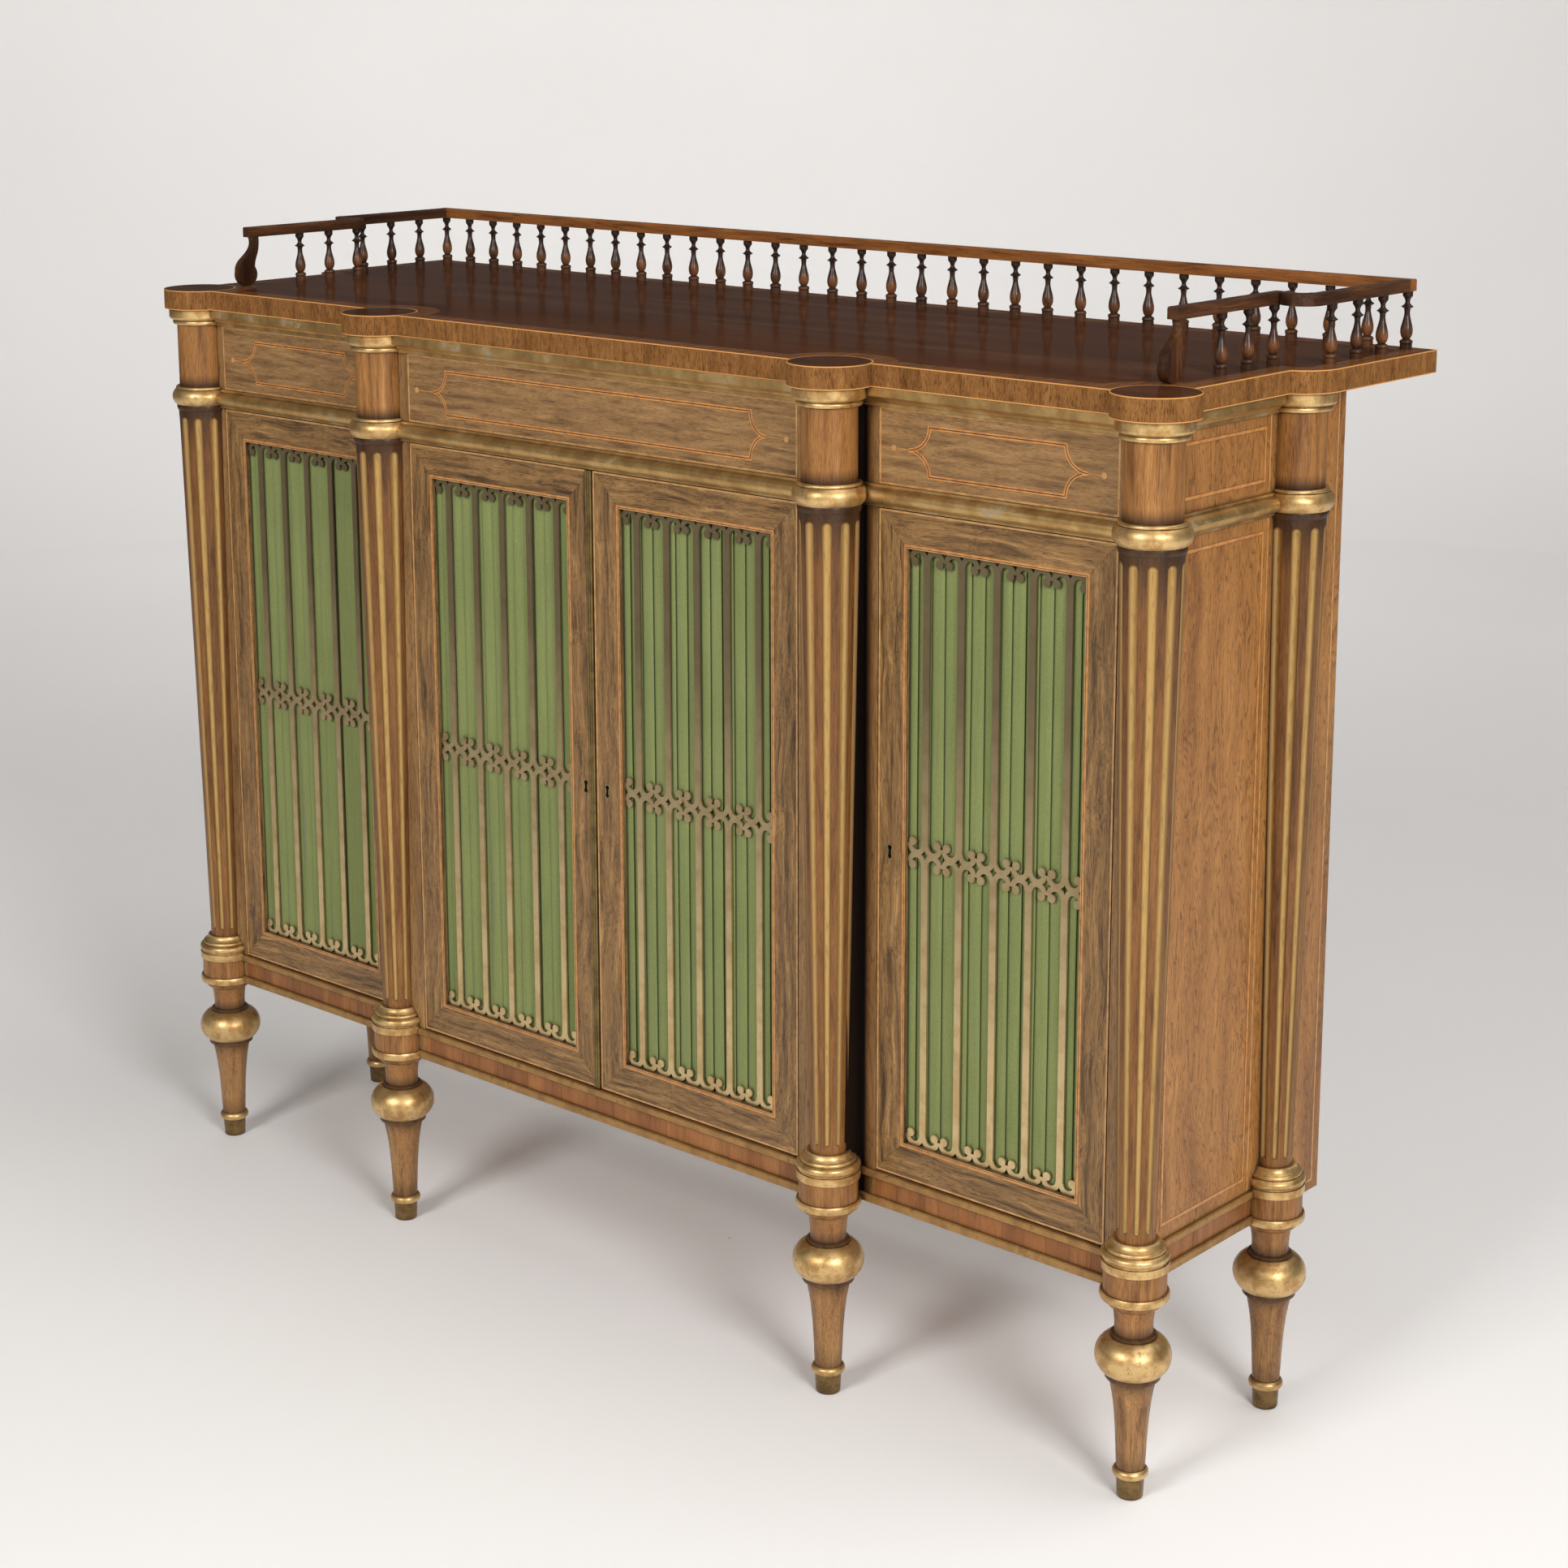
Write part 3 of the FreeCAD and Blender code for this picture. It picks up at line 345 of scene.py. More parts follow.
@dataclass(frozen=True)
class MitredWood(Wood):
    """Veneer on a mitred frame: upright fibres on the stiles and level ones on the rails."""

    centre: Point2 = (0.0, 0.0)
    half: Point2 = (0.1, 0.3)
    joint_mm: float = 0.35
    joint_dark: float = 0.9

    def over_mitre(self, graph: Graph) -> Socket:
        """Find the member of the frame.

        Args:
            graph: The material under construction.

        Returns:
            How far the point lies on the rails' side of the mitres, in metres.
        """
        axes = graph.axes()
        beyond = []
        for axis, middle, half in zip("XZ", self.centre, self.half):
            off = graph.add("Math", {0: axes[axis], 1: middle}, operation="SUBTRACT")
            size = graph.add("Math", {0: off}, operation="ABSOLUTE")
            beyond.append(graph.add("Math", {0: size, 1: half}, operation="SUBTRACT"))
        return graph.add("Math", {0: beyond[1], 1: beyond[0]}, operation="SUBTRACT")

    def oriented(self, graph: Graph) -> Socket:
        """Turn the surface point to the fibres of its own frame member.

        Args:
            graph: The material under construction.

        Returns:
            The point with its fibre axis last.
        """
        axes = graph.axes()
        rail = graph.add("Math", {0: self.over_mitre(graph), 1: 0.0}, operation="GREATER_THAN")
        upright = graph.add("CombineXYZ", {0: axes["X"], 1: axes["Y"], 2: axes["Z"]})
        level = graph.add("CombineXYZ", {0: axes["Z"], 1: axes["Y"], 2: axes["X"]})
        return graph.add("Mix", {0: rail, 4: upright, 5: level}, out=1, data_type="VECTOR")

    def build(self) -> bpy.types.Material:
        """Draw the finish, with a dark line where the mitres meet.

        Returns:
            The finished material.
        """
        graph = Graph(self.name)
        colour, pores = self.pattern(graph, self.oriented(graph))
        apart = graph.add("Math", {0: self.over_mitre(graph)}, operation="ABSOLUTE")
        joint = graph.add("MapRange", {0: apart, 1: 0.0, 2: self.joint_mm * MM, 3: self.joint_dark, 4: 0.0})
        joined = graph.add("Mix", {0: joint, 6: colour, 7: self.pore}, out=2, data_type="RGBA")
        return self.polish(graph, joined, pores)


@dataclass(frozen=True)
class CrossbandedWood(Wood):
    """Veneer laid in short blocks side by side, each a little different in tone."""

    block_mm: float = 27.0
    joint_mm: float = 0.7
    joint_dark: float = 0.5
    spread: float = 0.35

    def build(self) -> bpy.types.Material:
        """Draw the finish.

        Returns:
            The finished material.
        """
        graph = Graph(self.name)
        axes = graph.axes()
        colour, pores = self.pattern(graph, self.oriented(graph))
        run = graph.add("Math", {0: axes["X"], 1: axes["Y"]}, operation="ADD")
        blocks = graph.add("Math", {0: run, 1: 1 / (self.block_mm * MM)}, operation="MULTIPLY")
        block = graph.add("Math", {0: blocks}, operation="FLOOR")
        chance = graph.add("TexWhiteNoise", {"W": block}, noise_dimensions="1D")
        within = graph.add("Math", {0: blocks}, operation="FRACT")
        joint = graph.add("Math", {0: within, 1: self.joint_mm / self.block_mm}, operation="LESS_THAN")
        tone = graph.add("MapRange", {0: chance, 1: 0.0, 2: 1.0, 3: 0.0, 4: self.spread})
        toned = graph.add("Mix", {0: tone, 6: colour, 7: self.dark}, out=2, data_type="RGBA")
        seam = graph.add("Math", {0: joint, 1: self.joint_dark}, operation="MULTIPLY")
        jointed = graph.add("Mix", {0: seam, 6: toned, 7: self.pore}, out=2, data_type="RGBA")
        return self.polish(graph, jointed, pores)


@dataclass(frozen=True)
class RecessedWood(Wood):
    """Veneer of the posts, with painted shade: drawn black in the deep corner beside each inner column."""

    # Painted shade: how dark the post is drawn, by its distance in metres from the middle of the cabinet.
    painted_recess_shade: Stops = (
        (0.342, WHITE), (0.346, "#1E130D"), (0.352, "#1E130D"), (0.358, "#D8C8B8"), (0.369, WHITE),
    )

    def build(self) -> bpy.types.Material:
        """Draw the finish.

        Returns:
            The finished material.
        """
        graph = Graph(self.name)
        colour, pores = self.pattern(graph, self.oriented(graph))
        side = graph.add("Math", {0: graph.axes()["X"]}, operation="ABSOLUTE")
        # Painted shade: the post is drawn black where the inner column shades it.
        dirt_and_shade = graph.add("ValToRGB", {0: side}, stops=self.painted_recess_shade)
        dimmed = graph.add("Mix", {0: 1.0, 6: colour, 7: dirt_and_shade}, out=2, data_type="RGBA", blend_type="MULTIPLY")
        return self.polish(graph, dimmed, pores)


@dataclass(frozen=True)
class FlutedWood(Wood):
    """Turned rosewood whose flutes are laid with gold leaf, drawn darker by the rings, the gold darker at its edges
    from wear and painted shade.
    """

    axis: Point2 = (0.0, 0.0)
    flutes: int = 10
    ends: tuple[float, float] = (0.280, 0.920)
    half_mm: tuple[float, float] = (3.1, 5.25)
    gold: str = "#C09A5C"
    worn: str = "#5E4326"
    leaf_mm: float = 0.2
    soiled_and_shaded_mm: tuple[float, float] = (0.4, 2.4)
    rub_mm: float = 2.5
    # How dark the wood is drawn, by its height in metres: darker below and above each ring.
    by_height: Stops = (
        (0.022, "#8A7C70"), (0.055, WHITE), (0.112, "#F0E8E0"), (0.131, "#5A4A3C"), (0.170, "#5A4A3C"),
        (0.184, "#F0E0CC"), (0.240, "#F0DCC0"), (0.270, "#D6BE98"), (0.500, "#C6AC86"), (0.880, "#B49874"),
        (0.931, "#4E3A2A"), (0.964, "#5E4834"), (0.976, "#F6E2C0"), (1.030, "#F6E2C0"),
    )

    def inside_flute(self, graph: Graph, axes: dict[str, Socket]) -> Socket:
        """Find the flutes.

        Args:
            graph: The material under construction.
            axes: The point's X, Y and Z.

        Returns:
            How far the point lies inside the edge of its flute, in metres; below 0 on the wood between.
        """
        side = graph.add("Math", {0: axes["X"]}, operation="ABSOLUTE")
        level = graph.add("CombineXYZ", {0: side, 1: axes["Y"]})
        out = graph.add("VectorMath", {0: level, 1: (*self.axis, 0.0)}, operation="SUBTRACT")
        reach = graph.add("VectorMath", {0: out}, out="Value", operation="LENGTH")
        split = graph.add("SeparateXYZ", {0: out}).node
        turn = graph.add("Math", {0: split.outputs["Y"], 1: split.outputs["X"]}, operation="ARCTAN2")
        count = graph.add("Math", {0: turn, 1: self.flutes / (2 * math.pi)}, operation="MULTIPLY")
        share = graph.add("Math", {0: count}, operation="FRACT")
        off = graph.add("MapRange", {
            0: share, 1: 0.0, 2: 1.0, 3: -math.pi / self.flutes, 4: math.pi / self.flutes,
        })
        across = graph.add("Math", {0: off, 1: reach}, operation="MULTIPLY")
        over = graph.add("Math", {0: axes["Z"], 1: self.ends[1]}, operation="SUBTRACT")
        under = graph.add("Math", {0: self.ends[0], 1: axes["Z"]}, operation="SUBTRACT")
        outside = graph.add("Math", {0: over, 1: under}, operation="MAXIMUM")
        beyond = graph.add("Math", {0: outside, 1: 0.0}, operation="MAXIMUM")
        plan = graph.add("CombineXYZ", {0: across, 1: beyond})
        distance = graph.add("VectorMath", {0: plan}, out="Value", operation="LENGTH")
        half = graph.add("MapRange", {
            0: axes["Z"], 1: self.ends[0], 2: self.ends[1], 3: self.half_mm[0] * MM, 4: self.half_mm[1] * MM,
        })
        return graph.add("Math", {0: half, 1: distance}, operation="SUBTRACT")

    def build(self) -> bpy.types.Material:
        """Draw the finish.

        Returns:
            The finished material.
        """
        graph = Graph(self.name)
        axes, place = graph.axes(), self.oriented(graph)
        colour, pores = self.pattern(graph, place)
        inside = self.inside_flute(graph, axes)
        leaf = graph.add("MapRange", {0: inside, 1: 0.0, 2: self.leaf_mm * MM, 3: 0.0, 4: 1.0})
        # Darker toward each flute's edges: wear and painted shade across the hollow.
        near, far = (size * MM for size in self.soiled_and_shaded_mm)
        soiled_and_shaded = graph.add("MapRange", {0: inside, 1: near, 2: far, 3: 0.85, 4: 0.0})
        rubbed = self.stretched(graph, place, self.rub_mm, stretch=7.0, detail=5.0)
        patches = graph.add("MapRange", {0: rubbed, 1: 0.5, 2: 0.75, 3: 0.0, 4: 0.6})
        wear_and_painted_light = graph.add("Math", {0: patches, 1: soiled_and_shaded}, operation="MAXIMUM")
        gold = graph.add("Mix", {0: wear_and_painted_light, 6: self.gold, 7: self.worn}, out=2, data_type="RGBA")
        dirt_and_shade = graph.add("ValToRGB", {0: axes["Z"]}, stops=self.by_height)
        dimmed = graph.add("Mix", {0: 0.9, 6: colour, 7: dirt_and_shade}, out=2, data_type="RGBA", blend_type="MULTIPLY")
        laid = graph.add("Mix", {0: leaf, 6: dimmed, 7: gold}, out=2, data_type="RGBA")
        bare = graph.add("MapRange", {0: wear_and_painted_light, 1: 0.0, 2: 0.8, 3: 0.55, 4: 0.15})
        metal = graph.add("Math", {0: leaf, 1: bare}, operation="MULTIPLY")
        material = self.polish(graph, laid, pores)
        graph.feed(graph.shader, {"Metallic": metal})
        return material


@dataclass(frozen=True)
class BandedTop(Wood):
    """A french-polished top: dark field, lighter crossbanded border, flecked edge and pale stringing.

    Shellac rubbed to a mirror: spindles standing on it show in it, a little blurred.
    """

    border: Wood | None = None
    edge: Wood | None = None
    string: str = "#C98F52"
    string_mm: float = 1.0
    border_mm: float = 25.0
    discs: tuple[Point2, ...] = ()
    disc_mm: float = 42.0
    step: Point2 = (0.0, 0.0)
    fronts: tuple[float, float] = (0.0, 0.0)
    sides: tuple[float, float] = (0.0, 0.0)
    back: float = 0.0
    heights: tuple[float, float] = (0.0, 1.0)
    edge_roughness: float = 0.36

    def inward(self, graph: Graph, axes: dict[str, Socket]) -> tuple[Socket, Socket]:
        """Measure the plan.

        Args:
            graph: The material under construction.
            axes: The point's X, Y and Z.

        Returns:
            How far the point lies inside the straight edges, and how far from the nearest front disc's centre.
        """
        side = graph.add("Math", {0: axes["X"]}, operation="ABSOLUTE")
        central = graph.add("Math", {0: side, 1: self.step[0]}, operation="LESS_THAN")
        front = graph.add("MapRange", {0: central, 1: 0.0, 2: 1.0, 3: self.fronts[1], 4: self.fronts[0]})
        rear = graph.add("Math", {0: axes["Y"], 1: self.step[1]}, operation="GREATER_THAN")
        flank = graph.add("MapRange", {0: rear, 1: 0.0, 2: 1.0, 3: self.sides[0], 4: self.sides[1]})
        level = graph.add("CombineXYZ", {0: side, 1: axes["Y"]})
        reach = [
            graph.add("VectorMath", {0: level, 1: (*centre, 0.0)}, out="Value", operation="DISTANCE")
            for centre in self.discs
        ]
        from_front = graph.add("Math", {0: axes["Y"], 1: front}, operation="SUBTRACT")
        from_side = graph.add("Math", {0: flank, 1: side}, operation="SUBTRACT")
        in_rear_disc = graph.add("Math", {0: self.disc_mm * MM, 1: reach[2]}, operation="SUBTRACT")
        from_flank = graph.add("Math", {0: from_side, 1: in_rear_disc}, operation="MAXIMUM")
        from_back = graph.add("Math", {0: self.back, 1: axes["Y"]}, operation="SUBTRACT")
        nearest = graph.add("Math", {0: from_front, 1: from_flank}, operation="MINIMUM")
        inside = graph.add("Math", {0: nearest, 1: from_back}, operation="MINIMUM")
        return inside, graph.add("Math", {0: reach[0], 1: reach[1]}, operation="MINIMUM")

    def build(self) -> bpy.types.Material:
        """Draw the finish.

        Returns:
            The finished material.
        """
        graph = Graph(self.name)
        axes = graph.axes()
        colour, pores = self.pattern(graph, self.oriented(graph))
        border, _ = self.border.pattern(graph, self.border.oriented(graph))
        edge, flecks = self.edge.pattern(graph, self.edge.oriented(graph))
        inside, reach = self.inward(graph, axes)
        disc, band, line = self.disc_mm * MM, self.border_mm * MM, self.string_mm * MM
        in_disc = graph.add("Math", {0: reach, 1: disc}, operation="LESS_THAN")
        off_disc = graph.add("Math", {0: 1.0, 1: in_disc}, operation="SUBTRACT")
        near_edge = graph.add("Math", {0: inside, 1: band}, operation="LESS_THAN")
        near_disc = graph.add("Math", {0: reach, 1: disc + band}, operation="LESS_THAN")
        either = graph.add("Math", {0: near_edge, 1: near_disc}, operation="MAXIMUM")
        banded = graph.add("Math", {0: either, 1: off_disc}, operation="MULTIPLY")
        top = graph.add("Mix", {0: banded, 6: colour, 7: border}, out=2, data_type="RGBA")
        from_rim = graph.add("Math", {0: disc, 1: reach}, operation="SUBTRACT")
        off_rim = graph.add("Math", {0: from_rim}, operation="ABSOLUTE")
        rim = graph.add("Math", {0: off_rim, 1: line}, operation="LESS_THAN")
        at_edge = graph.add("Math", {0: inside, 1: line}, operation="LESS_THAN")
        edge_line = graph.add("Math", {0: at_edge, 1: off_disc}, operation="MULTIPLY")
        strung = graph.add("Math", {0: rim, 1: edge_line}, operation="MAXIMUM")
        top_strung = graph.add("Mix", {0: strung, 6: top, 7: self.string}, out=2, data_type="RGBA")
        over = graph.add("Math", {0: axes["Z"], 1: self.heights[1] - line}, operation="GREATER_THAN")
        under = graph.add("Math", {0: axes["Z"], 1: self.heights[0] + line}, operation="LESS_THAN")
        arris = graph.add("Math", {0: over, 1: under}, operation="MAXIMUM")
        side = graph.add("Mix", {0: arris, 6: edge, 7: self.string}, out=2, data_type="RGBA")
        normal = graph.add("NewGeometry", {}, out="Normal")
        up = graph.add("SeparateXYZ", {0: normal}, out="Z")
        facing = graph.add("Math", {0: up, 1: 0.5}, operation="GREATER_THAN")
        final = graph.add("Mix", {0: facing, 6: side, 7: top_strung}, out=2, data_type="RGBA")
        open_pores = graph.add("Mix", {0: facing, 2: flecks, 3: 0.0})
        material = self.polish(graph, final, open_pores)
        dull = graph.add("MapRange", {0: facing, 1: 0.0, 2: 1.0, 3: self.edge_roughness, 4: self.roughness})
        graph.feed(graph.shader, {"Roughness": dull})
        return material


@dataclass(frozen=True)
class SpindleWood(Wood):
    """Turned rosewood, nearly black in its hollows and lighter on the swell of each spindle, partly rubbed red-brown
    and partly a painted highlight.
    """

    foot: float = 0.0
    tall: float = 0.058
    uneven_mm: float = 34.0
    # How light the spindle is drawn from its foot to its head: partly rubbed polish, partly a painted highlight on the
    # swell.
    wear_and_painted_light: Stops = (
        (0.0, "#8C8C8C"), (0.14, "#A8A8A8"), (0.17, "#383838"), (0.21, "#C8C8C8"), (0.33, "#E0E0E0"),
        (0.46, "#707070"), (0.62, "#505050"), (0.7, "#404040"), (0.76, "#202020"), (1.0, "#242424"),
    )

    def build(self) -> bpy.types.Material:
        """Draw the finish.

        Returns:
            The finished material.
        """
        graph = Graph(self.name)
        place = self.oriented(graph)
        colour, pores = self.pattern(graph, place)
        up = graph.add("MapRange", {0: graph.axes()["Z"], 1: self.foot, 2: self.foot + self.tall, 3: 0.0, 4: 1.0})
        # Lighter on the swell: rubbed polish and a painted highlight.
        wear_and_painted_light = graph.add("ValToRGB", {0: up}, stops=self.wear_and_painted_light)
        uneven = graph.add("TexNoise", {"Vector": place, "Scale": 1 / (self.uneven_mm * MM), "Detail": 1.0})
        much = graph.add("MapRange", {0: uneven, 1: 0.36, 2: 0.62, 3: 0.45, 4: 1.25})
        rubbed = graph.add("Math", {0: wear_and_painted_light, 1: much}, operation="MULTIPLY", use_clamp=True)
        worn = graph.add("Mix", {0: rubbed, 6: self.dark, 7: colour}, out=2, data_type="RGBA")
        return self.polish(graph, worn, pores)


@dataclass(frozen=True)
class Gilding:
    """Gold leaf or lacquered brass over a dark ground, rubbed through in patches, with dirt and painted shade in its
    hollows.

    Burnished metal in thin leaf: warm broken highlights, brown where it is worn, dark lines of dirt and painted shade
    in the quirks.
    """

    name: str
    bright: str
    dull: str
    worn: str
    patch_mm: float = 16.0
    speck_mm: float = 1.1
    specks: float = 0.7
    wear: float = 0.6
    dirt_and_shade: str = "#33241A"
    dirt_and_shade_mm: float = 7.0
    roughness: float = 0.4
    metallic: float = 0.92
    lacquer: float = 0.0
    lacquer_roughness: float = 0.22
    dents: float = 0.2
    dent_mm: float = 4.0
    dent_deep_mm: float = 0.3
    worn_metallic: float = 0.35
    worn_roughness: float = 0.55

    def colours(self, graph: Graph) -> tuple[Socket, Socket]:
        """Draw the leaf.

        Args:
            graph: The material under construction.

        Returns:
            The colour and how far it is worn through.
        """
        place = graph.add("TexCoord", {}, out="Object")
        cloud = graph.add("TexNoise", {
            "Vector": place, "Scale": 1 / (self.patch_mm * MM), "Detail": 5.0, "Roughness": 0.62,
        })
        fine = graph.add("TexNoise", {"Vector": place, "Scale": 1 / (self.speck_mm * MM), "Detail": 2.0})
        leaf = graph.add("ValToRGB", {0: cloud}, stops=((0.38, self.dull), (0.56, self.bright)))
        broken = graph.add("Mix", {0: 0.25, 2: cloud, 3: fine})
        patch = graph.add("MapRange", {0: broken, 1: self.wear, 2: self.wear + 0.09, 3: 0.0, 4: 0.9})
        thin = graph.add("MapRange", {0: cloud, 1: 0.4, 2: 0.56, 3: self.specks, 4: 0.3 * self.specks})
        dots = graph.add("MapRange", {0: fine, 1: 0.56, 2: 0.68, 3: 0.0, 4: 1.0})
        specks = graph.add("Math", {0: thin, 1: dots}, operation="MULTIPLY")
        worn = graph.add("Math", {0: patch, 1: specks}, operation="MAXIMUM")
        rubbed = graph.add("Mix", {0: worn, 6: leaf, 7: self.worn}, out=2, data_type="RGBA")
        # Painted shade with dirt: ambient occlusion darkens the hollows toward the dirt colour.
        hollow = graph.add("AmbientOcclusion", {"Distance": self.dirt_and_shade_mm * MM}, out="AO", samples=6)
        soil_and_shade = graph.add("MapRange", {0: hollow, 1: 0.3, 2: 0.85, 3: 0.85, 4: 0.0})
        return graph.add("Mix", {0: soil_and_shade, 6: rubbed, 7: self.dirt_and_shade}, out=2, data_type="RGBA"), worn

    def build(self) -> bpy.types.Material:
        """Draw the finish.

        Returns:
            The finished material.
        """
        graph = Graph(self.name)
        colour, worn = self.colours(graph)
        metal = graph.add("MapRange", {0: worn, 1: 0.0, 2: 1.0, 3: self.metallic, 4: self.worn_metallic})
        rough = graph.add("MapRange", {0: worn, 1: 0.0, 2: 1.0, 3: self.roughness, 4: self.worn_roughness})
        place = graph.add("TexCoord", {}, out="Object")
        dents = graph.add("TexNoise", {"Vector": place, "Scale": 1 / (self.dent_mm * MM), "Detail": 2.0})
        deep = self.dent_deep_mm * MM
        uneven = graph.add("Bump", {"Height": dents, "Strength": self.dents, "Distance": deep}, out="Normal")
        graph.feed(graph.shader, {
            "Base Color": colour, "Metallic": metal, "Roughness": rough, "Normal": uneven,
            "Coat Weight": self.lacquer, "Coat Roughness": self.lacquer_roughness,
        })
        return graph.material


@dataclass(frozen=True)
class TarnishedGrilleWithPaintedReflection(Gilding):
    """Sawn sheet brass, brown with tarnish over the upper half; satin bright below, partly a painted reflection."""

    turn: tuple[float, float] = (0.36, 0.76)
    brown: str = "#50462F"
    brown_metallic: float = 0.45
    worn_roughness: float = 0.6

    def build(self) -> bpy.types.Material:
        """Draw the finish.

        Returns:
            The finished material.
        """
        graph = Graph(self.name)
        colour, worn = self.colours(graph)
        height = graph.axes()["Z"]
        # Brown above and bright below: tarnish, and a painted reflection in the lower half.
        upper = graph.add("MapRange", {0: height, 1: self.turn[0], 2: self.turn[1], 3: 0.0, 4: 0.88})
        tarnished = graph.add("Mix", {0: upper, 6: colour, 7: self.brown}, out=2, data_type="RGBA")
        metal = graph.add("MapRange", {0: upper, 1: 0.0, 2: 1.0, 3: self.metallic, 4: self.brown_metallic})
        rough = graph.add("MapRange", {0: worn, 1: 0.0, 2: 1.0, 3: self.roughness, 4: self.worn_roughness})
        graph.feed(graph.shader, {"Base Color": tarnished, "Metallic": metal, "Roughness": rough})
        return graph.material


@dataclass(frozen=True)
class PleatedSilk:
    """Plain-woven silk, pressed in pleats: fine threads, a soft sheen and slubs along the warp."""

    name: str
    green: str
    shade: str
    fold: str
    fold_mm: float = 4.0
    thread_mm: float = 0.75
    thread_deep_mm: float = 0.2
    slub_mm: float = 1.6
    slub_stretch: float = 40.0
    cloud_mm: float = 120.0

    def build(self) -> bpy.types.Material:
        """Draw the finish. The threads are drawn coarser than real ones so that they show.

        Returns:
            The finished material.
        """
        graph = Graph(self.name)
        place = graph.add("TexCoord", {}, out="Object")
        across = 1 / (self.slub_mm * MM)
        along = across / self.slub_stretch
        drawn = graph.add("VectorMath", {0: place, 1: (across, across, along)}, operation="MULTIPLY")
        slub = graph.add("TexNoise", {"Vector": drawn, "Scale": 1.0, "Detail": 2.0})
        cloud = graph.add("TexNoise", {"Vector": place, "Scale": 1 / (self.cloud_mm * MM), "Detail": 2.0})
        threads = 1 / (self.thread_mm * MM)
        weave = graph.add("TexNoise", {"Vector": place, "Scale": threads, "Detail": 1.0})
        drift = graph.add("Mix", {0: 0.5, 2: slub, 3: cloud})
        tone = graph.add("Mix", {0: 0.6, 2: drift, 3: weave})
        colour = graph.add("ValToRGB", {0: tone}, stops=((0.3, self.shade), (0.7, self.green)))
        # Painted shade: ambient occlusion darkens the hollows of the folds toward the fold colour.
        hollow = graph.add("AmbientOcclusion", {"Distance": self.fold_mm * MM}, out="AO", samples=6)
        shadow = graph.add("MapRange", {0: hollow, 1: 0.25, 2: 0.9, 3: 0.75, 4: 0.0})
        folded = graph.add("Mix", {0: shadow, 6: colour, 7: self.fold}, out=2, data_type="RGBA")
        deep = self.thread_deep_mm * MM
        cloth = graph.add("Bump", {"Height": weave, "Strength": 0.4, "Distance": deep}, out="Normal")
        graph.feed(graph.shader, {
            "Base Color": folded, "Roughness": 0.72, "Normal": cloth,
            "Sheen Weight": 0.25, "Sheen Roughness": 0.45, "Specular IOR Level": 0.25,
        })
        return graph.material


@dataclass(frozen=True)
class Stringing:
    """Sawn lines of pale or dyed wood let into the veneer and polished with it."""

    name: str
    colour: str
    shade: str
    cloud_mm: float = 9.0

    def build(self) -> bpy.types.Material:
        """Draw the finish.

        Returns:
            The finished material.
        """
        graph = Graph(self.name)
        place = graph.add("TexCoord", {}, out="Object")
        cloud = graph.add("TexNoise", {"Vector": place, "Scale": 1 / (self.cloud_mm * MM), "Detail": 3.0})
        colour = graph.add("ValToRGB", {0: cloud}, stops=((0.35, self.shade), (0.6, self.colour)))
        graph.feed(graph.shader, {"Base Color": colour, "Roughness": 0.4})
        return graph.material


@dataclass(frozen=True)
class Plain:
    """A plain matt or metal surface with a slight mottle."""

    name: str
    colour: str
    shade: str
    size_mm: float
    roughness: float
    metallic: float = 0.0

    def build(self) -> bpy.types.Material:
        """Draw the finish.

        Returns:
            The finished material.
        """
        graph = Graph(self.name)
        place = graph.add("TexCoord", {}, out="Object")
        cloud = graph.add("TexNoise", {"Vector": place, "Scale": 1 / (self.size_mm * MM), "Detail": 2.0})
        colour = graph.add("ValToRGB", {0: cloud}, stops=((0.3, self.shade), (0.7, self.colour)))
        graph.feed(graph.shader, {"Base Color": colour, "Roughness": self.roughness, "Metallic": self.metallic})
        return graph.material


@dataclass(frozen=True)
class Plane:
    """A flat face of the cabinet with its own level and upright axes."""

    origin: Vector
    level: Vector
    upright: Vector = Vector((0, 0, 1))

    def at(self, point: Point2, height: float) -> Vector:
        """Return the place of a point on the face, raised by a height."""
        outward = self.level.cross(self.upright)
        return self.origin + self.level * point[0] + self.upright * point[1] + outward * height


def mesh_object(name: str, shape: bmesh.types.BMesh, materials: Sequence[bpy.types.Material]) -> bpy.types.Object:
    """Turn a built shape into an object in the scene.

    Args:
        name: The piece's name.
        shape: The shape, which is freed.
        materials: The materials in the order of the faces' indices.

    Returns:
        The new object.
    """
    mesh = bpy.data.meshes.new(name)
    shape.to_mesh(mesh)
    shape.free()
    for material in materials:
        mesh.materials.append(material)
    piece = bpy.data.objects.new(name, mesh)
    bpy.context.scene.collection.objects.link(piece)
    return piece


def rectangle(low: Point2, high: Point2) -> list[Point2]:
    """Return the corners of a rectangle, anticlockwise from its lower left."""
    return [low, (high[0], low[1]), high, (low[0], high[1])]


class Line(Enum):
    """The woods of the inlaid lines, as indices of their materials."""

    ORANGE = 0
    BROWN = 1
    PALE = 2


